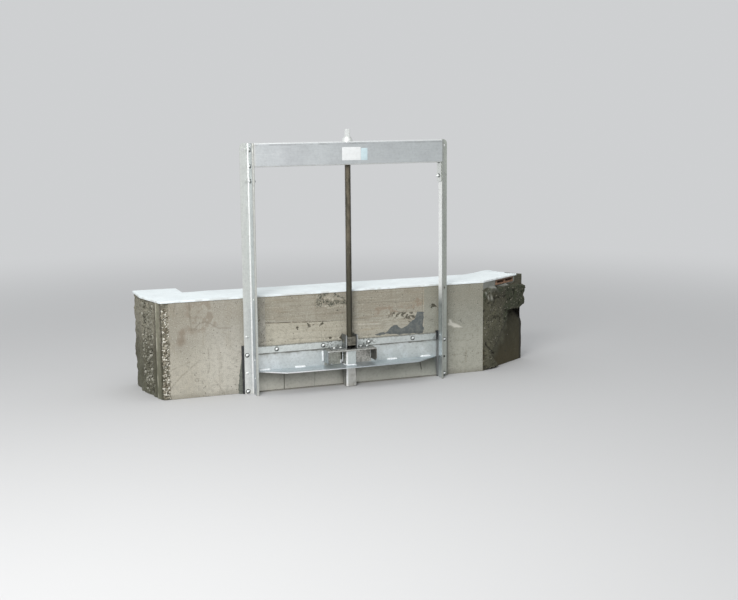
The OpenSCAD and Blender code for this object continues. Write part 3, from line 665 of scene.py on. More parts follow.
def yoke_shades(f):
    """Painted light: lighter to the left, bright folds, a dark underside; wide soft clouds and a pale left
    end.
    """
    x, z = f.axis("X"), f.axis("Z")
    # Painted light: the yoke is lighter to the left, where the light comes from.
    f.colour = f.blend(f.band(x, -0.55, 0.5), (0.72, 0.75, 0.76), (0.61, 0.645, 0.65))
    soft = f.band(f.cloud(4.0, 3.0, 0.5, f.stretched(1.6, 1, 1.0)), 0.38, 0.66)
    f.coat(soft * 0.45, (0.52, 0.54, 0.55))
    glow = 1 - f.band(abs(x + 0.36) + 0.08 * f.cloud(12.0, 2.0), 0.05, 0.17)
    f.coat(glow * 0.35, (0.74, 0.76, 0.78))
    front = 1 - f.band(f.axis("Y"), yoke_low.y + 0.001, yoke_low.y + 0.003)
    # Painted shade in a band just under the top fold, on the front.
    shade = f.within(z, yoke_high.z - 0.015, yoke_high.z - 0.006, 0.004) * f.band(f.cloud(9.0, 3.0), 0.4, 0.6)
    f.coat(shade * front * 0.45, (0.34, 0.35, 0.35))
    # Painted highlight on the top fold.
    f.coat(f.band(z, yoke_high.z - 0.006, yoke_high.z - 0.003) * 0.8, (0.9, 0.91, 0.9))
    pale_end = 1 - f.band(x, -0.538, -0.528)
    f.coat(pale_end * front * 0.6, (0.84, 0.84, 0.81))
    # Painted highlight on the lower fold.
    foot = 1 - f.band(z, yoke_low.z + 0.003, yoke_low.z + 0.008)
    f.coat(foot * 0.75, (0.86, 0.86, 0.83))
    # Painted shade on the underside.
    under = 1 - f.band(z, yoke_low.z + 0.0004, yoke_low.z + 0.001)
    f.coat(under * 0.6, (0.2, 0.2, 0.19))


print("posts fold at", fold_y, "and", lip_y, "m, yoke from", round(yoke_low.z, 3), "m up")

# %% Leaf and bar
clamp_places = [(x, bar_low.y, (bar_low.z + bar_high.z) / 2) for x in (-0.4155, -0.1465, 0.1225, 0.3915)]


def leaf_shades(f):
    """Light above the rib, painted shade under it and under the shelf, drips and stains; the back stays
    plain.
    """
    x, z = f.axis("X"), f.axis("Z")
    # Painted shade of the rib: under it the leaf is dark next to the rib and lighter towards the water.
    under = 1 - f.band(z, rib_low.z - 0.001, rib_low.z + 0.001)
    wander = 0.02 * f.cloud(11.0, 3.0)
    depth = f.band(z + wander, 0.005, rib_low.z + 0.014)
    f.coat(f.band(x, -0.1, 0.3), (0.65, 0.69, 0.68))
    to_right = f.band(x, -0.2, 0.3)
    at_water = f.blend(to_right, (0.64, 0.63, 0.565), (0.57, 0.575, 0.515))
    at_rib = f.blend(to_right, (0.2, 0.205, 0.18), (0.17, 0.175, 0.15))
    f.coat(under, f.blend(depth, at_water, at_rib))
    # Painted shade in the pockets under the shelf, with dark cloudy dirt, and two darker strips beside the
    # column.
    pockets = f.within(z, rib_high.z, shelf_low.z + 0.002, 0.002)
    pockets = pockets * f.within(abs(x), column_high.x, 0.139, 0.002)
    pocket_tone = f.blend(f.band(x, -0.02, 0.02), (0.53, 0.53, 0.46), (0.74, 0.7, 0.65))
    pocket_tone = f.blend(f.band(f.cloud(70.0, 4.0, 0.7), 0.42, 0.62) * 0.7, pocket_tone, (0.26, 0.25, 0.2))
    f.coat(pockets * 0.9, pocket_tone)
    f.coat(pockets * f.within(x, 0.028, 0.046, 0.006), (0.045, 0.035, 0.03))
    f.coat(pockets * f.within(x, -0.042, -0.028, 0.006), (0.09, 0.085, 0.07))
    upper = (1 - under) * (1 - pockets)
    pale = f.band(f.cloud(13.0, 4.0, 0.6, f.stretched(1.0, 1, 0.8)), 0.48, 0.66)
    f.coat(upper * pale * 0.5, (0.86, 0.91, 0.93))
    drips = upper * f.band(z + 0.06 * f.cloud(30.0, 4.0, 0.6, f.stretched(1.0, 1, 0.4)), 0.222, 0.25)
    f.coat(drips * (0.7 - 0.3 * f.band(x, -0.1, 0.2)), (0.4, 0.4, 0.37))
    # Painted shadow of the clamp bar: a dark, ragged line just under it.
    edge_dirt = upper * f.band(z + 0.02 * f.cloud(22.0, 4.0), 0.2155, 0.2215)
    f.coat(edge_dirt * 0.85, (0.14, 0.135, 0.11))
    slant = x + 0.2 * z
    stain = f.within(x, -0.3765, -0.3715, 0.003) * under * 0.8
    stain = stain.most(f.within(slant, 0.4545, 0.4605, 0.006) * f.within(z, 0.045, rib_low.z, 0.02) * 0.9)
    stain = stain.most(f.band(f.cloud(16.0, 3.0, 0.6, f.stretched(3.0, 1, 0.16)), 0.62, 0.74) * under * 0.35)
    f.coat(stain, (0.07, 0.068, 0.055))
    # Painted shade in a slanted corner under the rib at the right end.
    corner = under * f.band(x - 0.16 * (0.12 - z), 0.524, 0.528)
    f.coat(corner * 0.5, (0.24, 0.26, 0.26))
    back_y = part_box("leaf_plate")[1].y
    f.coat(f.band(f.axis("Y"), back_y - 0.0015, back_y - 0.0005), f.tint)


def bar_shades(f):
    """Grime round the bolts and in the middle, darker edges and right part, painted shade in a right-end
    corner.
    """
    x, z = f.axis("X"), f.axis("Z")
    f.coat(f.band(f.cloud(20.0, 4.0, 0.65), 0.45, 0.7) * 0.5, (0.84, 0.88, 0.87))
    f.coat(f.band(x, 0.08, 0.25) * 0.4, (0.5, 0.53, 0.52))
    foot = 1 - f.band(z + 0.004 * f.cloud(50.0, 3.0), bar_low.z + 0.0035, bar_low.z + 0.0075)
    f.coat(foot * 0.75, (0.11, 0.105, 0.085))
    crown = f.band(z + 0.016 * f.cloud(70.0, 4.0, 0.7), bar_high.z + 0.001, bar_high.z + 0.007)
    f.coat(crown * 0.7, (0.2, 0.19, 0.15))
    grime = 1 - f.band(f.near(clamp_places) + 0.006 * f.cloud(80.0, 3.0), 0.0135, 0.0185)
    f.coat(grime * 0.75, (0.12, 0.125, 0.11))
    dirty = f.within(x, -0.13, 0.16, 0.06) * f.band(f.cloud(75.0, 4.0, 0.7), 0.5, 0.58)
    f.coat(dirty * 0.75, (0.11, 0.11, 0.09))
    # Painted shade in a slanted corner at the right end.
    corner = f.band(x + 0.7 * (bar_low.z - z), 0.507, 0.512)
    f.coat(corner * 0.6, (0.3, 0.31, 0.3))


print("clamp bolts at", [x for x, y, z in clamp_places])

# %% Rib, column and bracket
def rib_shades(f):
    """A bluish top, a cut edge with a painted highlight that dulls to the right, and a painted dark
    underside.
    """
    x, z = f.axis("X"), f.axis("Z")
    edge = f.within(z, rib_low.z + 0.0004, rib_high.z - 0.0004, 0.0002)
    wide = f.cloud(16.0, 3.0, 0.6, f.stretched(0.5, 2.0, 1))
    f.coat(f.band(wide, 0.45, 0.7) * 0.5, (0.43, 0.48, 0.5))
    # Painted highlight on the cut edge, strongest to the left.
    bright = f.blend(f.band(x, -0.32, 0.1), (0.97, 0.98, 0.98), (0.5, 0.55, 0.57))
    f.coat(edge, bright)
    # Painted shade on the underside.
    underside = 1 - f.band(z, rib_low.z + 0.0002, rib_low.z + 0.0004)
    f.coat(underside * 0.8, (0.12, 0.12, 0.11))


def column_shades(f):
    """Painted shade at the sides, painted highlight on the rounded corner; pale front, stained and shaded
    below the rib.
    """
    x, y, z = f.axis("X"), f.axis("Y"), f.axis("Z")
    below = 1 - f.band(z, rib_low.z - 0.002, rib_high.z)
    # Below the rib the front is stained and also painted in the rib's shade.
    front = f.blend(below, f.tint, (0.56, 0.56, 0.53))
    front = f.blend(below * f.band(f.cloud(26.0, 4.0, 0.65), 0.48, 0.7) * 0.5, front, (0.36, 0.35, 0.31))
    past_corner = f.band(y, column_low.y + 0.005, column_low.y + 0.0065)
    # The left side is painted dark as shade, with darker runs and a paler strip of painted reflection.
    side = (1 - f.band(x, column_low.x + 0.0004, column_low.x + 0.0012)) * past_corner
    runs = f.band(f.cloud(34.0, 3.0, 0.6, f.stretched(3.0, 3.0, 0.3)), 0.42, 0.6)
    side_tone = f.blend(runs, (0.46, 0.47, 0.46), (0.27, 0.27, 0.26))
    side_tone = f.blend(f.within(y, -0.05, -0.038, 0.008) * 0.5, side_tone, (0.72, 0.73, 0.72))
    f.colour = f.blend(side, front, side_tone)
    # Painted highlight on the rounded corner, made less metallic so that it shows.
    corner = (1 - f.band(x, column_low.x + 0.008, column_low.x + 0.012)) * (1 - past_corner)
    f.dull = corner
    f.coat(corner, (0.95, 0.96, 0.95))
    # Painted shadow down the right edge below the rib.
    right = f.band(x + 0.1 * z, column_high.x + 0.001, column_high.x + 0.004)
    f.coat(right * below * 0.85, (0.09, 0.085, 0.07))


def bracket_shades(f):
    """Shelf and gussets: painted highlights on front edges, dirt round the bolts on top, painted shade under
    and inside.
    """
    x, y, z = f.axis("X"), f.axis("Y"), f.axis("Z")
    top = f.band(z, shelf_high.z - 0.0006, shelf_high.z - 0.0002)
    front = 1 - f.band(y, shelf_low.y + 0.0002, shelf_low.y + 0.0008)
    dirt = f.band(f.cloud(85.0, 4.0, 0.7), 0.46, 0.58)
    left_panel = 1 - f.band(x, -0.1405, -0.1395)
    f.coat(left_panel, (0.38, 0.405, 0.41))
    # Painted highlight on the front edges, brightest on the left gusset.
    f.coat(front, f.blend(1 - f.band(x, -0.135, -0.13), (0.62, 0.63, 0.6), (0.97, 0.98, 0.98)))
    f.coat(front * f.band(x, 0.0, 0.05) * dirt * 0.6, (0.14, 0.13, 0.105))
    f.coat(top, (0.55, 0.56, 0.53))
    f.coat(top * dirt * 0.9, (0.1, 0.1, 0.085))
    # Painted shadow under the shelf's front edge.
    ragged = z + 0.006 * f.cloud(90.0, 3.0, 0.7)
    lower = front * (1 - f.band(ragged, shelf_low.z + 0.004, shelf_low.z + 0.0065))
    f.coat(lower * 0.8, (0.12, 0.11, 0.09))
    # Painted shade on the right gusset's inner side.
    inner = f.band(x, 0.1355, 0.1365) * (1 - f.band(x, 0.1375, 0.1385))
    inner = inner * (1 - f.band(z, shelf_low.z - 0.002, shelf_low.z))
    f.coat(inner, (0.13, 0.13, 0.12))


def cheek_shades(f):
    """A dull blue-grey side with dark clouds, a lighter folded edge in front and silt at the foot."""
    y, z = f.axis("Y"), f.axis("Z")
    cheek_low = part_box("cheek_left")[0]
    edge = 1 - f.band(y, cheek_low.y + 0.0004, cheek_low.y + 0.002)
    f.coat(edge * 0.8, (0.55, 0.57, 0.57))
    f.coat(f.band(f.cloud(45.0, 4.0, 0.7), 0.42, 0.66) * 0.6, (0.13, 0.135, 0.13))
    foot = 1 - f.band(z, shelf_high.z + 0.001, shelf_high.z + 0.008)
    f.coat(foot * 0.5, (0.3, 0.295, 0.26))


print("the bracket stands from", round(shelf_low.z, 3), "m up")

# %% All plate finishes
# The posts share one steel in two tints: the left one lit, the right one darker as painted shade.
left_post = plate_finish("post_plate_left", (0.74, 0.76, 0.73), "Z", 0.25, 0.36, 0.06,
                         lambda f: post_shades(f, -1))
right_post = plate_finish("post_plate_right_shaded", (0.46, 0.485, 0.44), "Z", 0.3, 0.36, 0.06,
                          lambda f: post_shades(f, 1))
post_finishes = {"left": left_post, "right": right_post}
yoke_finish = plate_finish("yoke_plate", (0.6, 0.63, 0.63), "X", 0.15, 0.38, 0.1, yoke_shades)
leg_finish = plate_finish("leg_plate", (0.88, 0.9, 0.87), "Z", 0.2, 0.34)
leaf_finish = plate_finish("leaf_plate", (0.73, 0.77, 0.77), "X", 0.35, 0.42, 0.02, leaf_shades)
sill_finish = plate_finish("sill_plate", (0.42, 0.41, 0.37), "X", 0.5, 0.5)
bar_finish = plate_finish("bar_plate", (0.74, 0.78, 0.76), "X", 0.5, 0.42, 0.02, bar_shades)
rib_finish = plate_finish("rib_plate", (0.62, 0.68, 0.71), "X", 0.3, 0.36, 0.02, rib_shades)
column_finish = plate_finish("column_plate", (0.65, 0.7, 0.69), "Z", 0.3, 0.36, 0.03, column_shades)
bracket_finish = plate_finish("bracket_plate", (0.4, 0.42, 0.41), "Y", 0.6, 0.46, 0.02, bracket_shades)
cheek_finish = plate_finish("cheek_plate", (0.26, 0.275, 0.28), "Z", 0.5, 0.46, 0.02, cheek_shades)
print("stainless finishes are ready")

# %% [markdown]
# ## Turned steel, bolts, screw, nut, plastic and welds
# The small parts each wear in their own way. Bolts are duller than plate. The turned end shows fine rings
# round its axis. The screw is black-brown with old grease and silt in its thread, and the nut is bronze
# under the same crust.

# %% Bolts, turned steel and screw
def bolt_finish():
    """Dull steel with a bright crown; dirt in clouds, and painted shade where the underside mark is strong.
    """
    f = Finish("bolt_steel", (0.62, 0.63, 0.62), 0.3, 0.9)
    wear = f.cloud(180.0, 3.0, 0.6)
    dirt = f.band(f.cloud(60.0, 3.0, 0.6), 0.55, 0.75) * 0.4
    # The underside mark is painted shade: the lower right of each head and the washer's rim.
    dirt = dirt.most(f.mark("under"))
    f.colour = f.ramp(dirt, (0.0, (0.9, 0.92, 0.91)), (0.36, (0.46, 0.48, 0.47)), (1.0, (0.035, 0.04, 0.035)))
    f.show(0.24 + 0.2 * wear, 0.9 - 0.4 * dirt)
    f.raise_by(wear, 0.0004)
    return f


def screw_distance(f):
    """Distance from the screw's axis."""
    centred = f.node("ShaderNodeVectorMath", {"operation": "SUBTRACT"}, {0: f.place, 1: (0.0, stem_y, 0.0)})
    flat = f.node("ShaderNodeVectorMath", {"operation": "MULTIPLY"}, {0: centred, 1: (1.0, 1.0, 0.0)})
    return f.node("ShaderNodeVectorMath", {"operation": "LENGTH"}, {0: flat}, "Value")


def turned_finish():
    """Rings round the axis of the screw: a fine noise of the distance from it."""
    f = Finish("turned_steel", (0.74, 0.75, 0.74), 0.28, 0.9)
    fine = {"W": screw_distance(f) * 900.0, "Detail": 2.0}
    rings = f.node("ShaderNodeTexNoise", {"noise_dimensions": "1D"}, fine)
    dirt = f.band(f.cloud(90.0, 3.0, 0.6), 0.5, 0.75)
    f.colour = f.blend(dirt * 0.5, (0.93, 0.95, 0.93), (0.5, 0.5, 0.46))
    # Painted shade on the right side.
    f.coat(f.band(f.axis("X"), 0.003, 0.012) * 0.5, (0.42, 0.43, 0.42))
    f.show(0.26 + 0.2 * rings + 0.2 * dirt)
    f.raise_by(rings, 0.0002)
    return f


def screw_finish():
    """Crests worn dull olive, roots black with grease, painted shade down both sides and on the foot at the
    nut.
    """
    f = Finish("greased_screw", (0.1, 0.085, 0.06), 0.5, 0.2)
    grease = f.band(f.cloud(28.0, 4.0, 0.65, f.stretched(1.0, 1.0, 0.35)), 0.4, 0.65)
    grit = f.cloud(420.0, 3.0, 0.6)
    height = f.axis("Z")
    crest = f.blend(f.band(height, 0.5, 0.9), (0.1, 0.093, 0.06), (0.255, 0.22, 0.158))
    f.colour = f.blend(grease, crest, (0.085, 0.078, 0.055))
    root = 1 - f.band(screw_distance(f), rod_high.x - 0.0042, rod_high.x - 0.0015)
    f.coat(f.band(grit, 0.5, 0.7) * 0.4, (0.27, 0.25, 0.19))
    f.coat(root * 0.85, (0.014, 0.012, 0.008))
    # Painted shade down both sides of the screw.
    sides = f.band(abs(f.axis("X") + 0.005), 0.0075, 0.0125)
    f.coat(sides * 0.75, (0.022, 0.02, 0.014))
    # Painted shade on the foot at the nut.
    f.coat(1 - f.band(height, 0.233, 0.24), (0.006, 0.005, 0.004))
    f.show(0.5 + 0.25 * grit)
    f.raise_by(grit, 0.0005)
    return f


print("thread from", round(rod_high.x - 0.0042, 4), "to", round(rod_high.x, 4), "m")

# %% Crust, plastic, rubber, welds and film
def crust_finish():
    """Bronze under the same crust of grease and silt as the screw."""
    f = Finish("crusted_bronze", (0.13, 0.12, 0.095), 0.62, 0.3)
    crust = f.band(f.cloud(55.0, 4.0, 0.65), 0.38, 0.65)
    grit = f.cloud(300.0, 3.0, 0.6)
    f.colour = f.blend(crust, (0.2, 0.19, 0.155), (0.09, 0.085, 0.068))
    f.coat(f.band(grit, 0.5, 0.75) * 0.5, (0.25, 0.24, 0.2))
    f.show(0.5 + 0.3 * crust)
    f.raise_by(crust + grit * 0.4, 0.0012)
    return f


def soft_finish(name, colour, roughness, scale, dust=(0.12, 0.115, 0.1)):
    """Plastic or rubber: a fine grain, scuffs and a dusting of silt."""
    f = Finish(name, colour, roughness)
    scuffs = f.band(f.cloud(scale, 4.0, 0.65), 0.5, 0.72)
    grain = f.cloud(600.0, 2.0, 0.5)
    f.coat(scuffs * 0.5, dust)
    f.show(roughness + 0.15 * scuffs)
    f.raise_by(grain + scuffs * 0.5, 0.0004)
    return f


def silted_finish():
    """The right guide's plastic, silted on its inner side up to the clamp bar and on its outer edge."""
    f = soft_finish("silted_guide", guide_black, 0.5, 45.0)
    inner_side = f.within(f.axis("Z"), 0.0, bar_low.z, 0.01) * (1 - f.band(f.axis("X"), 0.56, 0.57))
    f.coat(inner_side, (0.17, 0.18, 0.18))
    f.coat(f.band(f.axis("X"), 0.5995, 0.6) * 0.9, (0.2, 0.2, 0.175))
    f.show()
    return f


def weld_finish():
    """Bright, rippled beads with dull spots."""
    f = Finish("weld_bead", (0.9, 0.92, 0.92), 0.4, 0.45)
    ripple = f.cloud(260.0, 3.0, 0.6)
    f.colour = f.blend(f.band(ripple, 0.5, 0.7) * 0.4, (0.94, 0.96, 0.97), (0.6, 0.6, 0.57))
    f.show(0.3 + 0.2 * ripple)
    f.raise_by(ripple, 0.0005)
    return f


def film_finish(name, colour):
    """A weathered label film: faint yellowing and a fine grain."""
    f = Finish(name, colour, 0.42)
    age = f.band(f.cloud(40.0, 3.0, 0.6), 0.4, 0.7)
    fine = f.cloud(500.0, 2.0, 0.5)
    f.coat(age * 0.4, scaled(colour, 0.82))
    f.show(0.4 + 0.15 * age)
    f.raise_by(fine, 0.0001)
    return f


print("the clamp bar ends", round(bar_low.z, 3), "m up")

# %% All small-part finishes
bolts = bolt_finish()
turned = turned_finish()
greased = screw_finish()
crusted = crust_finish()
guide_black = (0.022, 0.024, 0.027)
plastic = soft_finish("guide_plastic", guide_black, 0.5, 45.0)
silted = silted_finish()
rubber = soft_finish("seal_rubber", (0.02, 0.02, 0.021), 0.7, 70.0)
putty = soft_finish("bedding_putty", (0.12, 0.13, 0.11), 0.75, 90.0, (0.34, 0.35, 0.3))
weld = weld_finish()
film = film_finish("label_film", (0.86, 0.88, 0.88))
pale_film = film_finish("pale_label_film", (0.62, 0.76, 0.8))
print("small-part finishes are ready")

# %% [markdown]
# ## Finishes for the nodes that stay
# Folded posts, channel, rib and cheeks are already right in the model, so they only get their finish.

# %% Dress the nodes
dressing = {
    post_finishes["left"]: ["post_left"],
    post_finishes["right"]: ["post_right"],
    yoke_finish: ["yoke_channel", "yoke_stiffeners"],
    leg_finish: ["yoke_leg_left", "yoke_leg_right"],
    column_finish: ["column_upper", "column_lower"],
    leaf_finish: ["leaf_plate"],
    sill_finish: ["sill_plate"],
    bar_finish: ["clamp_bar"],
    rib_finish: ["bow_rib"],
    bracket_finish: ["nut_shelf", "gusset_left", "gusset_right"],
    cheek_finish: ["cheek_left", "cheek_right"],
    bolts: ["anchors_left", "anchors_right", "yoke_bolts_left", "yoke_bolts_right", "clamp_bolts",
            "bracket_bolts"],
    turned: ["bearing_housing", "lower_collar", "upper_collar", "drive_square"],
    greased: ["stem_rod"],
    crusted: ["stem_nut"],
    plastic: ["guide_left"],
    silted: ["guide_right"],
    rubber: ["top_seal", "bottom_seal"],
    wall_finish: ["headwall_left"],
    right_wall_finish: ["headwall_right"],
    board_finish: ["headwall_lintel"],
    wing_finish: ["return_wall_left", "wing_wall_right", "wing_rubble"],
    mortar: ["wall_cap"],
    brick: ["hollow_brick"],
}
for finish, names in dressing.items():
    for name in names:
        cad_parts[name].material_slots[0].material = finish.material
print("dressed", sum(len(names) for names in dressing.values()), "nodes")

# %% [markdown]
# ## Blocks of wall
# A wall block is a stack of rings. Its plan outline starts at a point in the middle of the underside, opens
# to the rim, climbs the faces and closes again on top. The rings are dense enough to carry relief, and the
# front face is pushed back by a function of its place, so that neighbouring blocks meet without a step.

# %% Outlines and rings
def stack(outline, levels, rings=3):
    """Rings from the middle of the underside out to the outline, up its levels and to the middle on top."""
    middle = outline.mean(axis=0)
    shares = np.concatenate([np.arange(rings) / rings, np.ones(len(levels)), np.arange(rings)[::-1] / rings])
    heights = np.concatenate([np.full(rings, levels[0]), levels, np.full(rings, levels[-1])])
    plan = middle + shares[:, None, None] * (outline - middle)
    return np.concatenate([plan, np.broadcast_to(heights[:, None, None], plan.shape[:2] + (1,))], axis=2)


def inside_distance(points, polygon):
    """Distance from points (..., 2) to a polygon's edges, positive inside it by the even-odd rule."""
    polygon = np.array(polygon, float)
    nearest = np.full(points.shape[:-1], 1e9)
    inside = np.zeros(points.shape[:-1], bool)
    for a, b in zip(polygon, np.roll(polygon, -1, axis=0)):
        edge = b - a
        t = np.clip(((points - a) @ edge) / (edge @ edge), 0, 1)
        nearest = np.minimum(nearest, np.linalg.norm(points - a - t[..., None] * edge, axis=-1))
        crosses = (a[1] > points[..., 1]) != (b[1] > points[..., 1])
        height = np.where(abs(edge[1]) < 1e-12, 1e-12, edge[1])
        reach = a[0] + (points[..., 1] - a[1]) * edge[0] / height
        inside ^= crosses & (points[..., 0] < reach)
    return np.where(inside, nearest, -nearest)


def path_distance(points, path):
    """Distance from points (..., 2) to the nearest segment of a path."""
    nearest = np.full(points.shape[:-1], 1e9)
    for a, b in zip(np.array(path[:-1], float), np.array(path[1:], float)):
        t = np.clip(((points - a) @ (b - a)) / ((b - a) @ (b - a)), 0, 1)
        nearest = np.minimum(nearest, np.linalg.norm(points - a - t[..., None] * (b - a), axis=-1))
    return nearest


print("from a point to a path", path_distance(np.array([[0.5, 0.2]]), [(0, 0), (1, 0)]))

# %% [markdown]
# ## What shows on the wall's face
# Between the posts the concrete was cast against boards: their joints run a little downhill, and each board
# stands at its own depth. Seams mark the two edges of the culvert. A patch of dark putty lies by the right
# seam, green smears behind the screw, and brown marks and scratches on the left block. Patches are outlines
# on the face, smears and scratches are paths, and specks and rings are places with a reach. Noise breaks up
# the edges of all of them.

# %% Outlines, paths and places on the face
board_joints = [(0.268, -0.02), (0.3575, -0.045), (0.452, -0.03)]
putty_patch = [(0.169, 0.264), (0.23, 0.277), (0.287, 0.313), (0.302, 0.315), (0.331, 0.298), (0.371, 0.313),
               (0.411, 0.33), (0.423, 0.348), (0.43, 0.376), (0.467, 0.373), (0.464, 0.254)]
smear_strokes = [[(-0.161, 0.462), (-0.149, 0.503), (-0.125, 0.535)],
                 [(-0.13, 0.525), (-0.078, 0.53), (-0.008, 0.528)],
                 [(-0.15, 0.485), (-0.091, 0.462), (-0.056, 0.47), (-0.008, 0.462)],
                 [(-0.07, 0.512), (-0.02, 0.49)]]
speck_places = [(-0.221, 0.351, 0.02), (-0.195, 0.346, 0.012), (-0.146, 0.343, 0.022), (-0.12, 0.35, 0.014),
                (-0.291, 0.335, 0.016), (-0.05, 0.431, 0.016), (-0.021, 0.412, 0.012), (0.384, 0.338, 0.024),
                (0.092, 0.425, 0.008), (-0.094, 0.27, 0.014), (-0.045, 0.27, 0.022), (0.53, 0.41, 0.02),
                (0.52, 0.33, 0.012)]
ring_places = [(0.663, 0.11, 0.004, 0.009), (0.817, 0.109, 0.003, 0.008), (-0.941, 0.259, 0.003, 0.008)]
brown_patch = [(-0.962, 0.30), (-0.94, 0.39), (-0.915, 0.385), (-0.91, 0.30), (-0.935, 0.285)]
mottled_patch = [(-0.911, 0.36), (-0.9, 0.5), (-0.79, 0.522), (-0.748, 0.52), (-0.745, 0.4), (-0.8, 0.375)]
chip_patch = [(0.63, 0.321), (0.641, 0.321), (0.647, 0.3), (0.666, 0.292), (0.717, 0.274), (0.717, 0.269),
              (0.666, 0.275), (0.628, 0.289), (0.624, 0.298), (0.632, 0.3)]
scratches = [[(-1.035, 0.03), (-0.94, 0.125), (-0.839, 0.204)], [(-0.992, 0.162), (-0.894, 0.198)],
             [(-0.76, 0.087), (-0.735, 0.05), (-0.707, 0.0)],
             [(-0.889, 0.518), (-0.887, 0.443), (-0.88, 0.368)],
             [(-0.866, 0.372), (-0.836, 0.403), (-0.799, 0.409), (-0.733, 0.371), (-0.666, 0.366)],
             [(-0.793, 0.267), (-0.787, 0.162), (-0.798, 0.125)], [(-0.974, 0.475), (-0.964, 0.517)]]


print("board lines at", [height for height, slope in board_joints])

# %% Single marks and the boards
def add_boards(depth, x, z, ragged):
    """Adds each board's own depth above its lower joint, and the groove of the joint."""
    boards = smooth(opening_x + 0.005 - abs(x), 0, 0.004)
    for k, (height, slope) in enumerate(board_joints):
        line = height + slope * x
        above_line = smooth(z - line, -0.0015, 0.0015)
        depth = depth + boards * (0.0007 * (lattice(np.array([[k, 5, 9]]), 4)[0] - 0.3) * above_line)
        joint = (1 - smooth(abs(z - line), 0.001, 0.004)) * smooth(ragged, -0.012, 0.004)
        depth = depth + boards * 0.0022 * joint
    return depth


def smear_marks(flat, blots):
    """Green smears along their strokes, and the pale bloom round the widest of them."""
    smear = np.zeros(flat.shape[:-1])
    for path, reach in zip(smear_strokes, (0.026, 0.018, 0.02, 0.016)):
        inside = reach - path_distance(flat, path) + 0.008 * blots
        smear = np.maximum(smear, smooth(inside, -0.006, 0.012))
    bloom = 0.75 * smooth(0.05 - path_distance(flat, smear_strokes[2]), 0, 0.03) * (1 - 0.6 * smear)
    return smear, bloom


def speck_mark(points, margin, band, blots):
    """Dark specks: flecks all over, the left margin, the band by the seam, single spots and a low run."""
    x, z = points[..., 0], points[..., 2]
    flecks = smooth(rough(points, 0.014, 3, 31), -0.1, 0.6)
    spots = 0
    for a, b, r in speck_places:
        spots = spots + 1 - smooth(np.hypot(x - a, z - b) - 0.6 * r * blots, 0.2 * r, 0.7 * r)
    dabs = 0.35 + 0.65 * smooth(blots, -0.2, 0.3)
    speck = flecks * (0.05 * margin + 0.12) + 0.4 * margin + 0.9 * band * dabs * smooth(x, 0.02, 0.36)
    speck = speck + 1.1 * spots * dabs
    low_run = smooth(0.012 - abs(z - 0.264), 0, 0.012) * smooth(x, -0.2, -0.12) * (1 - smooth(x, 0.1, 0.2))
    return np.clip(speck + 0.5 * low_run * dabs, 0, 1)


def pink_mark(points):
    """A warm stain along the putty and up the right seam."""
    x, z = points[..., 0], points[..., 2]
    seam_side = 1 - smooth(x, 0.455, 0.465)
    pink = smooth(x, 0.1, 0.2) * seam_side * (1 - smooth(abs(z - 0.395), 0.02, 0.05))
    pink = np.maximum(pink, smooth(x, 0.4, 0.43) * seam_side * smooth(z, 0.36, 0.4))
    return 0.75 * pink * smooth(rough(points, 0.03, 3, 33), -0.6, 0.3)


def line_mark(flat, ragged):
    """Scratches, broken by noise, with one ring and three dots."""
    x, z = flat[..., 0], flat[..., 1]
    rings = 1 - smooth(abs(np.hypot(x + 0.859, z - 0.096) - 0.01), 0.001, 0.004)
    for a, b, near, far in ring_places:
        rings = rings + 1 - smooth(np.hypot(x - a, z - b), near, far)
    line = np.zeros(x.shape)
    for path in scratches:
        scratch = 1 - smooth(path_distance(flat, path), 0.001, 0.005)
        line = np.maximum(line, scratch * smooth(ragged, -0.014, 0.006))
    return np.clip(line + rings, 0, 1)


print("the ring and the dots are", 1 + len(ring_places), "in number")

# %% Relief and marks of the face
def face_marks(points):
    """For points on the wall: how deep the face lies there, and how strong each of its marks is."""
    flat = points[..., [0, 2]]
    x, z = flat[..., 0], flat[..., 1]
    ragged = 0.012 * rough(points, 0.04, 4, 11)
    blots = rough(points, 0.016, 3, 22)
    depth = add_boards(0.0004 * (1 + rough(points, 0.12, 3, 3)), x, z, ragged)
    seam = np.minimum(abs(x - 0.466), abs(x + 0.472))
    depth = depth + 0.0025 * (1 - smooth(seam, 0.0012, 0.004))
    margin = smooth(x, -0.518, -0.508) * (1 - smooth(x, -0.474, -0.468))
    depth = depth + margin * 0.0018 * (1 + rough(points, 0.016, 3, 8))
    run = 0.375 - 0.06 * (x - 0.2)
    band = smooth(x, 0.1, 0.3) * (1 - smooth(x, 0.455, 0.47)) * (1 - smooth(abs(z - run), 0.012, 0.03))
    smear, bloom = smear_marks(flat, blots)
    bloom = np.maximum(bloom, np.maximum(0.55 * margin, 0.7 * band))
    speck = speck_mark(points, margin, band, blots)
    brown = smooth(inside_distance(flat, brown_patch) + ragged, -0.01, 0.02)
    mottled = smooth(inside_distance(flat, mottled_patch) + 2 * ragged, -0.03, 0.03)
    brown = np.maximum(brown, 0.7 * mottled * smooth(rough(points, 0.03, 3, 21), 0.02, 0.2))
    chip = smooth(inside_distance(flat, chip_patch) + 0.35 * ragged, -0.004, 0.002)
    putty_mark = smooth(inside_distance(flat, putty_patch) + ragged * 0.6, -0.002, 0.003)
    depth = depth + 0.0012 * speck + 0.0008 * chip
    return depth, {"putty": putty_mark, "smear": smear, "speck": speck, "brown": brown, "chip": chip,
                   "pink": pink_mark(points), "bloom": bloom, "line": line_mark(flat, ragged)}


print("marks of the face", list(face_marks(np.zeros((1, 1, 3)))[1]))

# %% [markdown]
# ## Headwall blocks
# Two blocks stand beside the culvert and a lintel spans it. Only the front is dense. The relief goes
# inwards alone, because the leaf's top seal slides half a millimetre off this face.

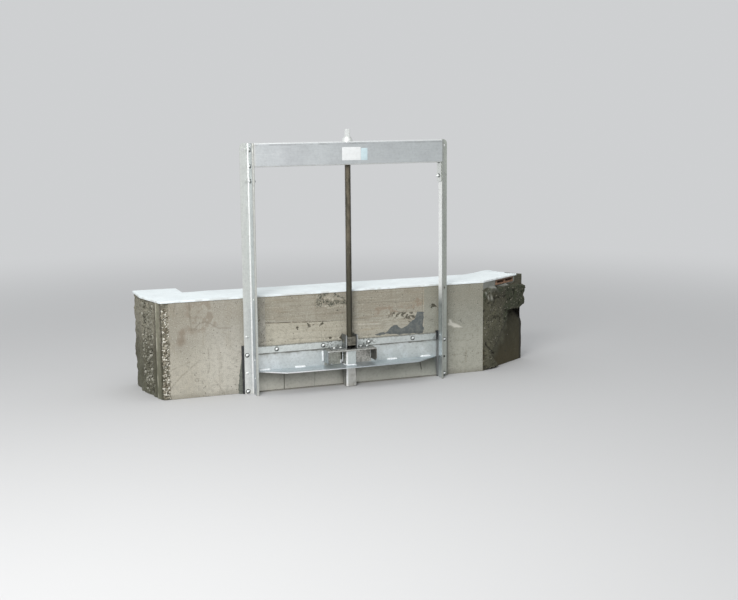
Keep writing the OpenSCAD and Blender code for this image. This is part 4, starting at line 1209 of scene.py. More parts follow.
# %% Left block, right block and lintel
def wall_block(node, finish):
    """A box of rings with its front at Y = 0 pushed back by the relief of the face."""
    low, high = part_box(node)
    front = np.linspace(low.x, high.x, round((high.x - low.x) / 0.0045) + 1)
    back = np.linspace(high.x, low.x, 24)
    outline = np.concatenate([
        np.stack([front, np.full(len(front), low.y)], axis=1),
        [[high.x, 0.02], [high.x, 0.1], [high.x, 0.2]],
        np.stack([back, np.full(len(back), high.y)], axis=1),
        [[low.x, 0.2], [low.x, 0.1], [low.x, 0.02]]])
    levels = np.linspace(low.z, high.z, round((high.z - low.z) / 0.0045) + 1)
    points = stack(outline, levels)
    depth, marks = face_marks(points)
    on_front = (points[..., 1] < 1e-6)
    points[..., 1] += np.where(on_front, np.clip(depth, 0, None), 0)
    marks = {name: [np.where(on_front, value, 0)] for name, value in marks.items()}
    make_piece(node + "_cast", [points], WALL, finish, [node], 50, marks)


wall_block("headwall_left", wall_finish)
wall_block("headwall_right", right_wall_finish)
wall_block("headwall_lintel", board_finish)

# %% [markdown]
# ## Left return wall
# The left wall turns the corner and runs back into the bank. Its front shows the same cast face as far as a
# rough strip at the arris, where the stones lie bare. The outer face was cast against upright boards and
# has broken away further back. Along the front the block follows the face's relief, and round the corner
# each face has its own.

# %% Return wall with its broken arris
def hump(value, middle, width):
    """A bell of height 1: exp of minus the square of the distance from its middle over its width."""
    return np.exp(-(((value - middle) / width) ** 2))


def return_plan():
    """The plan outline, each point's length along the outer face, its direction outwards, and two counts."""
    x0, x1 = return_low.x, return_high.x
    front_x = x0 + arris_in
    outer = np.array([(front_x, 0.0), (x0, bend_y), (x0, return_high.y)])
    front = np.stack([np.linspace(x1, front_x, 42), np.zeros(42)], axis=1)
    splay = np.linspace(outer[0], outer[1], 56)[1:]
    rear = np.linspace(outer[1], outer[2], 34)[1:]
    back = np.linspace(outer[2], (x1, return_high.y), 16)[1:]
    inner = np.linspace((x1, return_high.y), (x1, 0.0), 12)[1:-1]
    outline = np.concatenate([front, splay, rear, back, inner])
    bend_at = len(front) + len(splay)
    end_at = bend_at + len(rear)
    outer_length = splay_length + 0.215
    rear_along = np.linspace(splay_length, outer_length, 34)[1:]
    along = np.concatenate([np.zeros(len(front)), np.linspace(0, splay_length, 56)[1:], rear_along])
    along = np.concatenate([along, np.zeros(len(back) + len(inner))])
    outwards = np.zeros((len(outline), 2))
    outwards[: len(front) - 1] = (0, -1)
    outwards[len(front) - 1] = (-0.7, -0.7)
    outwards[len(front) : bend_at] = np.array([-bend_y, -arris_in]) / splay_length
    outwards[bend_at:end_at] = (-1, 0)
    outwards[end_at : end_at + len(back)] = (0, 1)
    return outline, along, outwards, len(front), end_at


def return_wall():
    """Rings pushed along each face's inward normal: relief in front, board ridges and breaks outside."""
    outline, along, outwards, front_count, end_at = return_plan()
    points = stack(outline, np.linspace(return_low.z, return_high.z, 116))
    x, y, z = points[..., 0], points[..., 1], points[..., 2]
    depth, marks = face_marks(points)
    strip = 1 - smooth(x - (return_low.x + arris_in) + 0.006 * rough(points, 0.03, 3, 40), 0.036, 0.044)
    order = np.arange(len(outline))
    on_front = (order < front_count)[None, :]
    on_outer = ((order >= front_count) & (order < end_at))[None, :]
    crest = hump(along, 0.058, 0.006)
    ridge = 0.004 * crest - 0.007 * hump(along, 0.01, 0.008) - 0.003 * hump(along, 0.082, 0.01)
    # groove: the two recesses of the outer face, which are painted dark as shade.
    groove = hump(along, 0.01, 0.0095) + 0.55 * hump(along, 0.082, 0.012)
    light_board = smooth(along, 0.02, 0.03) * (1 - smooth(along, 0.066, 0.072))
    broken = smooth(along[None, :] + 0.03 * rough(points, 0.08, 3, 43), 0.1, 0.125)
    crumble = 0.006 * (1 + rough(points, 0.035, 4, 44))
    outer_push = -0.001 + ridge[None, :] - broken * crumble - 0.0008 * rough(points, 0.02, 3, 45)
    front_push = -np.clip(depth, 0, None) - strip * 0.0045 * (1.1 + rough(points, 0.016, 3, 41))
    push = np.where(on_front, front_push, np.where(on_outer, outer_push, 0))
    push = np.where(x > return_high.x - 1e-6, np.where(y < 1e-6, -np.clip(depth, 0, None), 0), push)
    push = push * (1 - smooth(z, wall_top - 0.002, wall_top - 0.0005))
    points[..., 0] += push * outwards[:, 0]
    points[..., 1] += push * outwards[:, 1]
    crest_mark = crest[None, :] * smooth(rough(points, 0.05, 3, 46), -0.5, 0.3)
    values = {name: [np.where(on_front, value * (1 - strip), 0)] for name, value in marks.items()}
    values["panel"] = [np.where(on_front, 1 - strip, np.where(on_outer, 1 - broken, 1))]
    values["old"] = [np.where(on_front, strip, 1.0)]
    values["moss"] = [np.where(on_front, 0, 0.5 * smooth(0.3 - z, 0, 0.3))]
    values["groove"] = [np.where(on_outer, np.clip(groove, 0, 1)[None, :], 0 * x)]
    values["light"] = [np.where(on_outer, light_board[None, :], 0 * x)]
    values["crest"] = [np.where(on_outer, crest_mark, 0)]
    finish, nodes = return_face_finish(), ["return_wall_left"]
    make_piece("return_wall_cast", [points], WALL, finish, nodes, 55, values)

# %% Cast and old concrete in one finish
def return_face_finish():
    """The cast finish and the old one in one material, shared out by the mark of what is old."""
    f = concrete_finish("return_wall", *wall_tones, False)
    cast = f.colour
    f.colour = f.blend(f.band(f.cloud(9.0, 5.0, 0.65), 0.35, 0.68), (0.17, 0.165, 0.12), (0.085, 0.08, 0.055))
    streaks = f.band(f.cloud(22.0, 4.0, 0.7, f.stretched(2.5, 2.5, 0.3)), 0.45, 0.7)
    f.coat(streaks * 0.5, (0.24, 0.225, 0.17))
    f.coat(f.band(f.axis("Z") + 0.1 * f.cloud(20.0, 3.0), 0.3, 0.42) * 0.6, (0.36, 0.34, 0.27))
    f.coat(f.band(f.cloud(42.0, 4.0, 0.7), 0.5, 0.58) * 0.5, (0.07, 0.062, 0.042))
    f.coat(f.band(f.cloud(110.0, 4.0, 0.7), 0.5, 0.66) * 0.6, (0.06, 0.05, 0.032))
    f.coat(f.mark("light") * 0.6, (0.23, 0.225, 0.165))
    f.coat(f.mark("crest") * 0.8, (0.5, 0.48, 0.39))
    # Painted shade in the grooves of the outer face.
    f.coat(f.mark("groove") * 0.9, (0.035, 0.028, 0.017))
    f.coat(f.mark("moss") * 0.6, (0.05, 0.06, 0.028))
    f.colour = f.blend(f.mark("old"), cast, f.colour)
    f.show()
    return f


return_wall()

# %% [markdown]
# ## Right wing
# The wing is the oldest part. A smooth band runs along its top, where the new mortar was bedded. Below it a
# broken facing stands out 30 mm, over a dark hollow, and fades towards the corner. To the right of a
# slanting edge the smoother face behind it shows. It is one height field over the face: length along it,
# and height.

# %% Wing with its broken facing
rubble_edge = [(0.0, 0.0), (0.0, 0.446), (0.044, 0.484), (0.24, 0.48), (0.335, 0.468), (0.455, 0.458),
               (0.455, 0.33), (0.392, 0.322), (0.24, 0.33), (0.24, 0.266), (0.066, 0.09), (0.121, 0.045),
               (0.154, 0.0)]
hollow_edge = [(0.235, 0.225), (0.24, 0.326), (0.392, 0.322), (0.46, 0.33), (0.46, 0.22)]
brick_pocket = [(0.139, 0.491), (0.338, 0.491), (0.338, 0.53), (0.139, 0.53)]


def wing_relief(u, z):
    """How far the wing's face stands out at a length and height, and the marks there."""
    flat = np.stack([u, z], axis=-1)
    space = np.stack([u, np.zeros_like(u), z], axis=-1)
    ragged = 0.011 * rough(space, 0.05, 4, 60)
    facing = smooth(inside_distance(flat, rubble_edge) + ragged, -0.003, 0.007)
    reach = np.interp(u, [0, 0.044, 0.110, 0.455], [0.001, 0.018, 0.029, 0.029])
    lumps = rough(space, 0.045, 4, 61)
    out = facing * reach * (0.92 + 0.09 * lumps) + facing * 0.0015 * rough(space, 0.012, 3, 62)
    ledge = facing * (1 - smooth(abs(z - (0.478 - 0.05 * u) - ragged), 0.006, 0.02))
    panel = (1 - facing) * (1 - smooth(z, 0.235, 0.26))
    out = out - (1 - facing) * 0.0012 * (1 + rough(space, 0.03, 3, 63))
    hollow = smooth(inside_distance(flat, hollow_edge) + 0.7 * ragged, -0.002, 0.006)
    hollow = hollow * smooth(z, 0.225, 0.318)
    out = out - hollow * (0.05 + 0.012 * lumps + np.clip(out, 0, None))
    pit = smooth(rough(space, 0.022, 2, 64), 0.55, 0.8) * facing
    out = out - 0.007 * pit
    away = path_distance(flat, [(0.02, 0.16), (0.05, 0.125), (0.09, 0.095), (0.13, 0.085)])
    crack_mark = 1 - smooth(away + 0.3 * abs(ragged), 0.003, 0.008)
    out = out - 0.009 * crack_mark
    pocket = inside_distance(flat, brick_pocket) > 0
    out = np.where(pocket, -0.066, out)
    upper = smooth(z - 0.484 + ragged * 0.5, -0.004, 0.004) * (1 - smooth(u + 2 * ragged, 0.345, 0.352))
    under_ledge = hollow * (0.25 + 0.75 * smooth(z + 0.3 * ragged, 0.296, 0.316))
    far_end = smooth(u, 0.425, 0.435) * (1 - smooth(z, 0.31, 0.33))
    slope = np.array([0.165, 0.172]) / np.hypot(0.165, 0.172)
    beside = (u - 0.07) * slope[1] - (z - 0.09) * slope[0]
    crease = 1 - smooth(abs(beside + 0.006 + 0.5 * ragged), 0.004, 0.012)
    crease = crease * smooth(z, 0.08, 0.12) * (z < 0.27)
    # Painted shade as the hollow mark: under the ledge, in the crack, pits and brick pocket, at the far end
    # and the crease.
    dark = np.clip(under_ledge + 0.9 * crack_mark + 0.6 * pit + pocket + 0.7 * far_end + 0.45 * crease, 0, 1)
    moss = facing * smooth(rough(space, 0.08, 3, 66), 0.0, 0.5)
    moss = np.maximum(moss, facing * smooth(u, 0.18, 0.26) * smooth(z, 0.33, 0.37))
    strip = smooth(beside, -0.01, 0.004) * (1 - smooth(beside + 2 * ragged, 0.05, 0.09))
    strip = strip * (1 - smooth(z, 0.24, 0.28))
    pale = np.clip(ledge * 0.35 * (1 - smooth(u, 0.1, 0.24)) + upper * 0.9, 0, 1) * (1 - dark)
    light = facing * (1 - smooth(u - 0.2 * (0.4 - z), 0.14, 0.2)) * (1 - smooth(z, 0.36, 0.44))
    nose = (1 - smooth(abs(u - 0.03 - 0.5 * (0.47 - z)), 0.01, 0.03)) * smooth(z, 0.4, 0.43) * (1 - upper)
    streak = facing * nose * smooth(noise(space * [1, 1, 0.15], 0.007, 67), 0.0, 0.4)
    panel = np.clip(panel + 0.5 * (1 - facing) * (z < 0.33), 0, 1) * (1 - strip)
    light = np.maximum(light, strip * (1 - dark))
    moss = moss * (1 - upper) * (1 - light)
    return out, {"panel": panel, "hollow": dark, "moss": moss, "pale": pale, "light": light, "streak": streak}


print("the facing stands out", wing_relief(np.array([0.2]), np.array([0.4]))[0].round(4))

# %% Wing from its height field
def wing_wall():
    """Rings round the wing, its front pushed along the face's normal, its end crumbled, its back plain."""
    start = np.array([corner_x, 0.0])
    end = start + wing_length * wing_along
    back_end = end + wing_thickness * wing_inwards
    root = np.array([back_end[0] - (back_end[1] - wall_back) / wing_along[1] * wing_along[0], wall_back])
    count, tail_count = 106, 33
    front = np.linspace(start, end, count)
    tail = np.linspace(end, back_end, tail_count + 1)[1:]
    back = np.linspace(back_end, root, 30)[1:]
    side = np.array([(corner_x, wall_back), (corner_x, 0.2), (corner_x, 0.1), (corner_x, 0.02)])
    outline = np.concatenate([front, tail, back, side])
    levels = np.unique(np.concatenate([np.linspace(0, wall_top, 122), [0.4905, 0.4915]]))
    points = stack(outline, levels)
    rest = np.zeros(len(back) + len(side))
    length = np.concatenate([np.linspace(0, wing_length, count), np.full(tail_count, wing_length), rest])
    inner = np.concatenate([np.zeros(count), np.linspace(0, wing_thickness, tail_count + 1)[1:], rest])
    u = np.broadcast_to(length, points.shape[:2])
    out, marks = wing_relief(u, points[..., 2])
    order = np.arange(len(outline))
    is_front = (order < count)[None, :]
    is_tail = ((order >= count) & (order < count + tail_count))[None, :]
    faded = np.clip(1 - inner / 0.07, 0, 1)
    push = np.where(is_front, out, np.where(is_tail, np.clip(out, 0, None) * faded, 0))
    points[..., 0] -= push * wing_inwards[0]
    points[..., 1] -= push * wing_inwards[1]
    above_ground = points[..., 2] > 1e-6
    crumble = np.where(is_tail & above_ground, 0.006 * (1 + rough(points, 0.05, 4, 70)), 0)
    points[..., 0] -= crumble * wing_along[0]
    points[..., 1] -= crumble * wing_along[1]
    keep = is_front | is_tail
    marks = {name: [np.where(keep, value, 0.5 if name == "panel" else 0)] for name, value in marks.items()}
    nodes = ["wing_wall_right", "wing_rubble"]
    make_piece("wing_wall_cast", [points], WALL, wing_finish, nodes, 60, marks)


wing_wall()

# %% [markdown]
# ## Stones that stand out
# Where the concrete is broken, its stones stand out of the face. One rounded stone of 42 points is copied
# at many places, sizes and turns in a single array sum, and each copy keeps a tone of its own.

# %% Stones
def stone_form():
    """A ball of 42 points, as arrays of points and faces."""
    ball = bmesh.new()
    bmesh.ops.create_icosphere(ball, subdivisions=2, radius=1.0)
    points = np.array([v.co for v in ball.verts])
    faces = np.array([[v.index for v in face.verts] for face in ball.faces])
    ball.free()
    return points, faces


def scatter_stones(name, centres, sizes, finish, seed):
    """Copies of the ball, each squeezed on its axes, lumped by noise, turned at random and set in place."""
    rng = np.random.default_rng(seed)
    ball, faces = stone_form()
    count = len(centres)
    squeeze = rng.uniform(0.6, 1.2, (count, 1, 3))
    lumps = 1 + 0.16 * noise(ball[None] * 1.3 + rng.uniform(0, 50, (count, 1, 3)), 1.0, seed)[..., None]
    axes = np.linalg.qr(rng.normal(size=(count, 3, 3)))[0]
    copies = np.einsum("nij,nkj->nki", axes, ball[None] * squeeze * lumps)
    copies = copies * sizes[:, None, None] + centres[:, None]
    all_faces = (faces[None] + np.arange(count)[:, None, None] * len(ball)).reshape(-1, 3)
    mesh = fill_mesh(name, copies.reshape(-1, 3), all_faces)
    add_mark(mesh, "tone", np.repeat(rng.uniform(0, 1, count), len(ball)))
    turn_outwards(mesh)
    finish_piece(mesh, WALL, finish, (), 75)


print("a stone has", len(stone_form()[0]), "points")

# %% Where the stones lie
def arris_stones():
    """Places on the bare strip of the left arris."""
    rng = np.random.default_rng(5)
    count = 520
    sizes = 0.0022 + 0.0062 * rng.uniform(0, 1, count) ** 2
    x = return_low.x + arris_in + 0.006 + rng.uniform(0, 0.034, count)
    z = rng.uniform(0.006, wall_top - 0.028, count)
    y = 0.004 + 0.35 * sizes - 0.003 * rng.uniform(0, 1, count)
    front = np.stack([x, y, z], axis=1)
    return front, sizes


def corner_stones():
    """Places round the corner, where the outer face is broken."""
    rng = np.random.default_rng(7)
    count = 620
    sizes = 0.0025 + 0.007 * rng.uniform(0, 1, count) ** 2.5
    along = rng.uniform(0.105, 0.24, count)
    z = rng.uniform(0.02, wall_top - 0.015, count)
    share = along / splay_length
    centres = np.stack([return_low.x + arris_in * (1 - share), bend_y * share, z], axis=1)
    return centres + (0.008 - 0.1 * sizes)[:, None] * np.array([0.97, 0.24, 0.0]), sizes


def wing_stones():
    """Places on the wing's facing: a length and a height each, at the face's own depth there."""
    rng = np.random.default_rng(6)
    u = rng.uniform(0.004, 0.452, 3600)
    z = rng.uniform(0.006, 0.482, 3600)
    out, marks = wing_relief(u, z)
    kept = (inside_distance(np.stack([u, z], axis=1), rubble_edge) > 0.004) & (marks["hollow"] < 0.3)
    kept |= rng.uniform(0, 1, len(u)) < 0.03
    u, z, out = u[kept][:950], z[kept][:950], out[kept][:950]
    sizes = 0.0018 + 0.0055 * rng.uniform(0, 1, len(u)) ** 2.5
    plan = np.array([corner_x, 0.0]) + u[:, None] * wing_along - (out - 0.5 * sizes)[:, None] * wing_inwards
    return np.concatenate([plan, z[:, None]], axis=1), sizes


scatter_stones("arris_stones", *arris_stones(), pale_stones, 15)
scatter_stones("corner_stones", *corner_stones(), grey_stones, 17)
scatter_stones("wing_stones", *wing_stones(), dark_stones, 16)

# %% [markdown]
# ## Mortar bed
# A thin bed of pale mortar was trowelled over the wall. It is a strip between a front line and a back line:
# at each station a section runs from the front over the top to the back and returns underneath. The front
# edge wavers inwards between the guides, where the leaf's seal passes, and the far end over the wing is
# broken off.

# %% Mortar bed
def bed_lines():
    """The front line and the back line of the bed, with as many points on each."""
    x0, x1 = cap_low.x, return_high.x
    lip = 0.003
    guide_out = guide_high.x
    wing_front = np.array([corner_x, 0.0]) + 0.400 * wing_along - lip * wing_inwards
    wing_back = np.array([corner_x, 0.0]) + wing_length * wing_along + wing_thickness * wing_inwards
    root = (wing_back[0] - (wing_back[1] - wall_back) / wing_along[1] * wing_along[0], wall_back)
    pairs = [
        ((x0, 0.455), (x1, 0.455), 2),
        ((x0, bend_y), (x1, 0.372), 40),
        ((x0 + arris_in, -lip), (x1, wall_back), 40),
        ((x1, -lip), (x1 + 0.01, wall_back), 30),
        ((-guide_out - 0.001, -lip), (-guide_out, wall_back), 36),
        ((-guide_out, 0.0), (-guide_out + 0.001, wall_back), 2),
        ((guide_out, 0.0), (guide_out, wall_back), 170),
        ((guide_out + 0.001, -lip), (guide_out + 0.001, wall_back), 2),
        ((corner_x, -lip), (root[0], wall_back), 34),
        (tuple(wing_front), tuple(wing_back), 60),
    ]
    front, back = [np.array([pairs[0][0]])], [np.array([pairs[0][1]])]
    for (a, b, before), (c, d, steps) in zip(pairs[:-1], pairs[1:]):
        t = (np.arange(1, steps + 1) / steps)[:, None]
        front.append(np.array(a) + (np.array(c) - np.array(a)) * t)
        back.append(np.array(b) + (np.array(d) - np.array(b)) * t)
    return np.concatenate(front), np.concatenate(back)


def mortar_bed():
    """Sections between two lines: top row, wavy and rounded at its rims, and flat underside."""
    front, back = bed_lines()
    share = np.concatenate([[0, 0, 0.004, 0.014], np.linspace(0.035, 0.965, 26), [0.986, 0.996, 1, 1]])
    plan = front[:, None] + (back - front)[:, None] * share[None, :, None]
    space = np.concatenate([plan, np.zeros(plan.shape[:2] + (1,))], axis=2)
    edge = np.array([0, 0.75, 0.93, 1.0] + [1.0] * 26 + [1.0, 0.93, 0.75, 0])
    swell = cap_high.z - 0.0022 + 0.0016 * rough(space, 0.16, 4, 80) - 0.0006 * abs(rough(space, 0.03, 2, 81))
    top = cap_low.z + (np.minimum(swell, cap_high.z) - cap_low.z) * edge[None, :]
    under = np.full(plan.shape[:2], cap_low.z)
    upper = np.concatenate([plan, top[..., None]], axis=2)
    lower = np.concatenate([plan, under[..., None]], axis=2)[:, ::-1]
    sections = np.concatenate([upper, lower], axis=1)
    waver = 0.0022 * (1 + rough(sections, 0.05, 4, 82))
    near_front = np.exp(-np.abs(sections[..., 1]) / 0.012) * (np.abs(sections[..., 0]) < corner_x)
    sections[..., 1] += waver * near_front
    last = smooth(np.arange(len(sections)), len(sections) - 14, len(sections) - 1)[:, None]
    bite = last * 0.03 * (1 + rough(sections, 0.06, 4, 83))
    sections[..., 0] -= bite * wing_along[0]
    sections[..., 1] -= bite * wing_along[1]
    ends = [np.broadcast_to(sections[k].mean(axis=0), sections[k].shape)[None] for k in (0, -1)]
    rings = np.concatenate([ends[0], sections, ends[1]], axis=0)
    outer = np.array([1, 1, 0.7, 0.25] + [0.0] * 30)
    rim = np.broadcast_to(np.concatenate([outer, np.ones(len(outer))]), rings.shape[:2])
    dirt = np.clip(rim * smooth(rough(rings, 0.04, 3, 84), -0.2, 0.5), 0, 1)
    make_piece("mortar_bed", [rings], WALL, mortar, ["wall_cap"], 50, {"edge": [dirt]})


mortar_bed()

# %% [markdown]
# ## Turned and six-sided parts
# Bolts, nuts, washers and caps are all turned on one axis. The profile is a list of radii and heights,
# and a hexagon only limits the radius: at each angle it is the smaller of the turned radius and the
# distance to the flat. Its chamfers then come out curved, as they do on a real nut.

# %% Turning
def turned_form(profile, base, axis, sides, flats=None):
    """Rings round an axis; with flats, a radius is cut to flats / cos(angle from a flat's middle)."""
    profile = np.array(profile, float)
    angle = np.arange(sides) / sides * 2 * math.pi
    radius = np.repeat(profile[:, :1], sides, axis=1)
    if flats:
        from_middle = (angle + math.pi / 6) % (math.pi / 3) - math.pi / 6
        radius = np.minimum(radius, flats / np.cos(from_middle)[None, :])
    axis = np.array(axis, float)
    side = np.array([0.0, 0.0, 1.0]) if abs(axis[2]) < 0.5 else np.array([1.0, 0.0, 0.0])
    other = np.cross(axis, side)
    ring = radius[..., None] * (np.cos(angle)[None, :, None] * side + np.sin(angle)[None, :, None] * other)
    return np.array(base, float) + ring + profile[:, 1:2, None] * axis


def washer(base, axis, radius, thickness):
    """A flat ring with rounded rims."""
    r, t = radius, thickness
    profile = [(0, 0), (r - 0.0003, 0), (r, t * 0.3), (r, t * 0.7), (r - 0.0005, t), (0, t)]
    return turned_form(profile, base, axis, 36)


def hexagon(base, axis, corner, height):
    """A nut or head with both faces chamfered."""
    c, h = corner, height
    profile = [(0, 0), (c * 0.88, 0), (c, h * 0.14), (c, h * 0.84), (c * 0.86, h), (c * 0.5, h), (0, h)]
    return turned_form(profile, base, axis, 48, c * math.cos(math.pi / 6))


def bolt_end(base, axis, radius, height):
    """The threaded end that stands out of a nut: grooves and a rounded tip."""
    rings = [(0, 0)]
    for k in range(max(2, int(height / 0.0012))):
        rings += [(radius, k * 0.0012), (radius * 0.93, k * 0.0012 + 0.0006)]
    top = rings[-1][1]
    rings += [(radius * 0.9, top + 0.0006), (radius * 0.7, top + 0.0010), (0, top + 0.0012)]
    return turned_form(rings, base, axis, 24)


def fastening(seat, axis, size, tail=0.0):
    """Washer, six-sided head and, with a tail, the bolt's end, standing out from a seat along an axis."""
    axis = np.array(axis, float)
    seat = np.array(seat, float)
    dome = size * np.array([(0, 0), (0.66, 0), (0.6, 0.12), (0.45, 0.22), (0.2, 0.28), (0, 0.29)])
    parts = [washer(seat, axis, size, size * 0.2),
             hexagon(seat + axis * size * 0.2, axis, size * 0.8, size * 0.4),
             turned_form(dome, seat + axis * size * 0.58, axis, 32)]
    if tail:
        parts.append(bolt_end(seat + axis * size * 0.8, axis, size / 2, size * 0.05 + tail))
    return parts


print("a nut has", hexagon((0, 0, 0), (0, 0, 1), 0.01, 0.005).shape[:2], "rings and points")

# %% [markdown]
# ## Bolts
# Each set stands on the plate that its node stands on. The rows are spaced between the outermost bolts of
# the node's box, so they stay in their holes.

# %% Anchors, clamp bolts, bracket bolts and yoke bolts
def bolt_piece(name, seats, body, nodes):
    """Fastenings at (place, axis, size, tail); the mark of painted shade grows as a point lies low and to the
    right.
    """
    parts, under = [], []
    for seat, axis, size, tail in seats:
        axis = np.array(axis, float)
        for part in fastening(seat, axis, size, tail):
            offset = (part - np.array(seat, float)) / size
            height = offset @ axis
            from_axis = np.linalg.norm(offset - height[..., None] * axis, axis=-1)
            # Painted shade: the lower right of each head, and the rim, are marked dark.
            lean = offset @ np.array([0.6, 0.0, -1.0])
            shade = np.where(height > 0.3, smooth(lean, -0.15, 0.45), 0.45 + 0.25 * smooth(lean, 0, 0.6))
            parts.append(part)
            under.append(np.maximum(shade, smooth(from_axis, 0.86, 0.97) * 0.85))
    make_piece(name, parts, body, bolts, nodes, 35, {"under": under})


def frame_bolts():
    """Two anchors in each flange, and three bolts through each web, which show a head on both its sides."""
    size, middle_z = 0.012, 1.235
    for side, sign in (("left", -1), ("right", 1)):
        low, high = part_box("anchors_" + side)
        x = (low.x + high.x) / 2
        seats = [((x, flange_front, z), (0, -1, 0), size, 0.0) for z in (low.z + size, high.z - size)]
        bolt_piece("anchor_heads_" + side, seats, WALL, ["anchors_" + side])
        low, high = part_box("yoke_bolts_" + side)
        y = (low.y + high.y) / 2
        seats = []
        for z in (low.z + size, middle_z, high.z - size):
            seats.append(((sign * web_outer, y, z), (sign, 0, 0), size, 0.0))
            seats.append(((sign * leg_inner, y, z), (-sign, 0, 0), size, 0.006 if sign > 0 else 0.0))
        bolt_piece("yoke_bolt_heads_" + side, seats, WALL, ["yoke_bolts_" + side])


def leaf_bolts():
    """Four bolts in the clamp bar, and two in each of the bracket's feet, over and under the shelf."""
    seats = [(place, (0, -1, 0), 0.012, 0.0) for place in clamp_places]
    bolt_piece("clamp_bolt_heads", seats, LEAF, ["clamp_bolts"])
    size = 0.010
    low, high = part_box("bracket_bolts")
    foot = shelf_high.z + 0.006
    y = (low.y + high.y) / 2
    seats = []
    for sign in (-1, 1):
        for x in (high.x - size, high.x - size - 0.038):
            seats.append(((sign * x, y, foot), (0, 0, 1), size, 0.0))
            seats.append(((sign * x, y, shelf_low.z), (0, 0, -1), size, 0.0))
    bolt_piece("bracket_bolt_heads", seats, LEAF, ["bracket_bolts"])


frame_bolts()
leaf_bolts()

# %% [markdown]
# ## Caps and small screws
# Some of the free holes in the flanges are closed with flush caps, and small screws hold the guides to the
# webs. A cap is a shaft and a low dome, turned in one piece.

# %% Hole caps and guide screws
def hole_caps():
    """A shaft in the hole and a dome over it, at each closed hole."""
    caps = {"left": [(0.114, 0.0026), (0.314, 0.0022), (0.414, 0.0005), (0.514, 0.0005)],
            "right": [(0.314, 0.0005), (0.414, 0.0005)]}
    for side, rows in caps.items():
        x = hole_x if side == "right" else -hole_x
        parts = []
        for z, dome in rows:
            shaft = [(0, -0.004), (0.006, -0.004), (0.006, 0), (0.0078, 0), (0.0078, 0.0002)]
            profile = shaft + [(0.0066, dome * 0.6), (0.004, dome * 0.9), (0, dome)]
            parts.append(turned_form(profile, (x, flange_front, z), (0, -1, 0), 24))
        make_piece("hole_caps_" + side, parts, WALL, post_finishes[side], (), 50)


def guide_screws():
    """Low round heads on the left web's outer side and the right web's inner side."""
    head = [(0, 0), (0.0042, 0), (0.0042, 0.0008), (0.003, 0.002), (0, 0.0024)]
    places = [((-web_outer, -0.068, z), (-1, 0, 0)) for z in (0.092, 0.192, 0.523)]
    places += [((web_inner, -0.05, z), (-1, 0, 0)) for z in (0.122, 0.247)]
    parts = [turned_form(head, place, axis, 20) for place, axis in places]
    under = [np.zeros(part.shape[:2]) for part in parts]
    # The lower screw on the right web gets a dark mark all over: painted shade.
    under[-2] += 0.9
    make_piece("guide_screws", parts, WALL, bolts, (), 50, {"under": under})


hole_caps()
guide_screws()

# %% [markdown]
# ## Screw thread
# The screw has a coarse thread of 6 mm a turn. Its radius is a function of angle and height: where it is in
# the turn, times the pitch, gives crest, flank or root. Plain ends close it inside the column and the
# collar.

# %% Thread
def threaded_screw():
    """Radius by phase = height / pitch - angle / full turn: a third crest, a third root, flanks between."""
    pitch, crest, root = 0.006, rod_high.x - 0.001, rod_high.x - 0.0042
    collar_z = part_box("lower_collar")[0].z
    heights = np.arange(rod_low.z + 0.003, collar_z - 0.012, 0.001)
    sides = 28
    angle = np.arange(sides) / sides * 2 * math.pi
    phase = (heights[:, None] / pitch - angle[None, :] / (2 * math.pi)) % 1
    rise = smooth(abs(phase - 0.5) * 2, 0.3, 0.62)
    radius = root + (crest - root) * rise
    fade = smooth(heights, heights[0], heights[0] + 0.004)
    fade = fade * (1 - smooth(heights, heights[-1] - 0.006, heights[-1]))
    radius = root + (radius - root) * fade[:, None]
    journal = 0.014
    ends_low = [(0.0, rod_low.z), (root - 0.002, rod_low.z), (root, rod_low.z + 0.002)]
    ends_high = [(root, collar_z - 0.01), (root, collar_z), (journal, collar_z), (journal, rod_high.z),
                 (0.0, rod_high.z)]
    rows = [np.full(sides, r) for r, z in ends_low] + list(radius) + [np.full(sides, r) for r, z in ends_high]
    levels = np.array([z for r, z in ends_low] + list(heights) + [z for r, z in ends_high])
    radius = np.array(rows)
    rings = np.stack([radius * np.cos(angle), stem_y + radius * np.sin(angle),
                      np.broadcast_to(levels[:, None], radius.shape)], axis=2)
    make_piece("threaded_screw", [rings], SCREW, greased, ["stem_rod"], 60)


threaded_screw()

# %% [markdown]
# ## Weld beads
# The rib is stitched to the leaf with short beads, and the gussets and the column's foot are welded round.
# A bead is a tube along its line, a little flat, swelling and narrowing with each drop of weld, and pointed
# at its ends.

# %% Welds
def bead(start, end, size, seed):
    """Rings along a line: radius = size * sqrt(1 - t^8) * (1 + ripple), t running from -1 to 1."""
    start, end = np.array(start, float), np.array(end, float)
    length = np.linalg.norm(end - start)
    count = max(6, round(length / 0.0022))
    t = np.linspace(-1, 1, count)
    centre = start + (end - start) * (t[:, None] + 1) / 2
    ripple = 0.1 * np.sin((t + 1) * length / 0.0035) + 0.12 * noise(centre, 0.01, seed)
    radius = size * np.sqrt(np.clip(1 - t**8, 0, 1)) * (1 + ripple)
    along = (end - start) / length
    side = np.cross(along, (0, 0, 1)) if abs(along[2]) < 0.9 else np.array([1.0, 0.0, 0.0])
    side = side / np.linalg.norm(side)
    other = np.cross(along, side)
    angle = np.arange(10) / 10 * 2 * math.pi
    ring = np.cos(angle)[:, None] * side + np.sin(angle)[:, None] * other
    return centre[:, None] + radius[:, None, None] * ring[None]


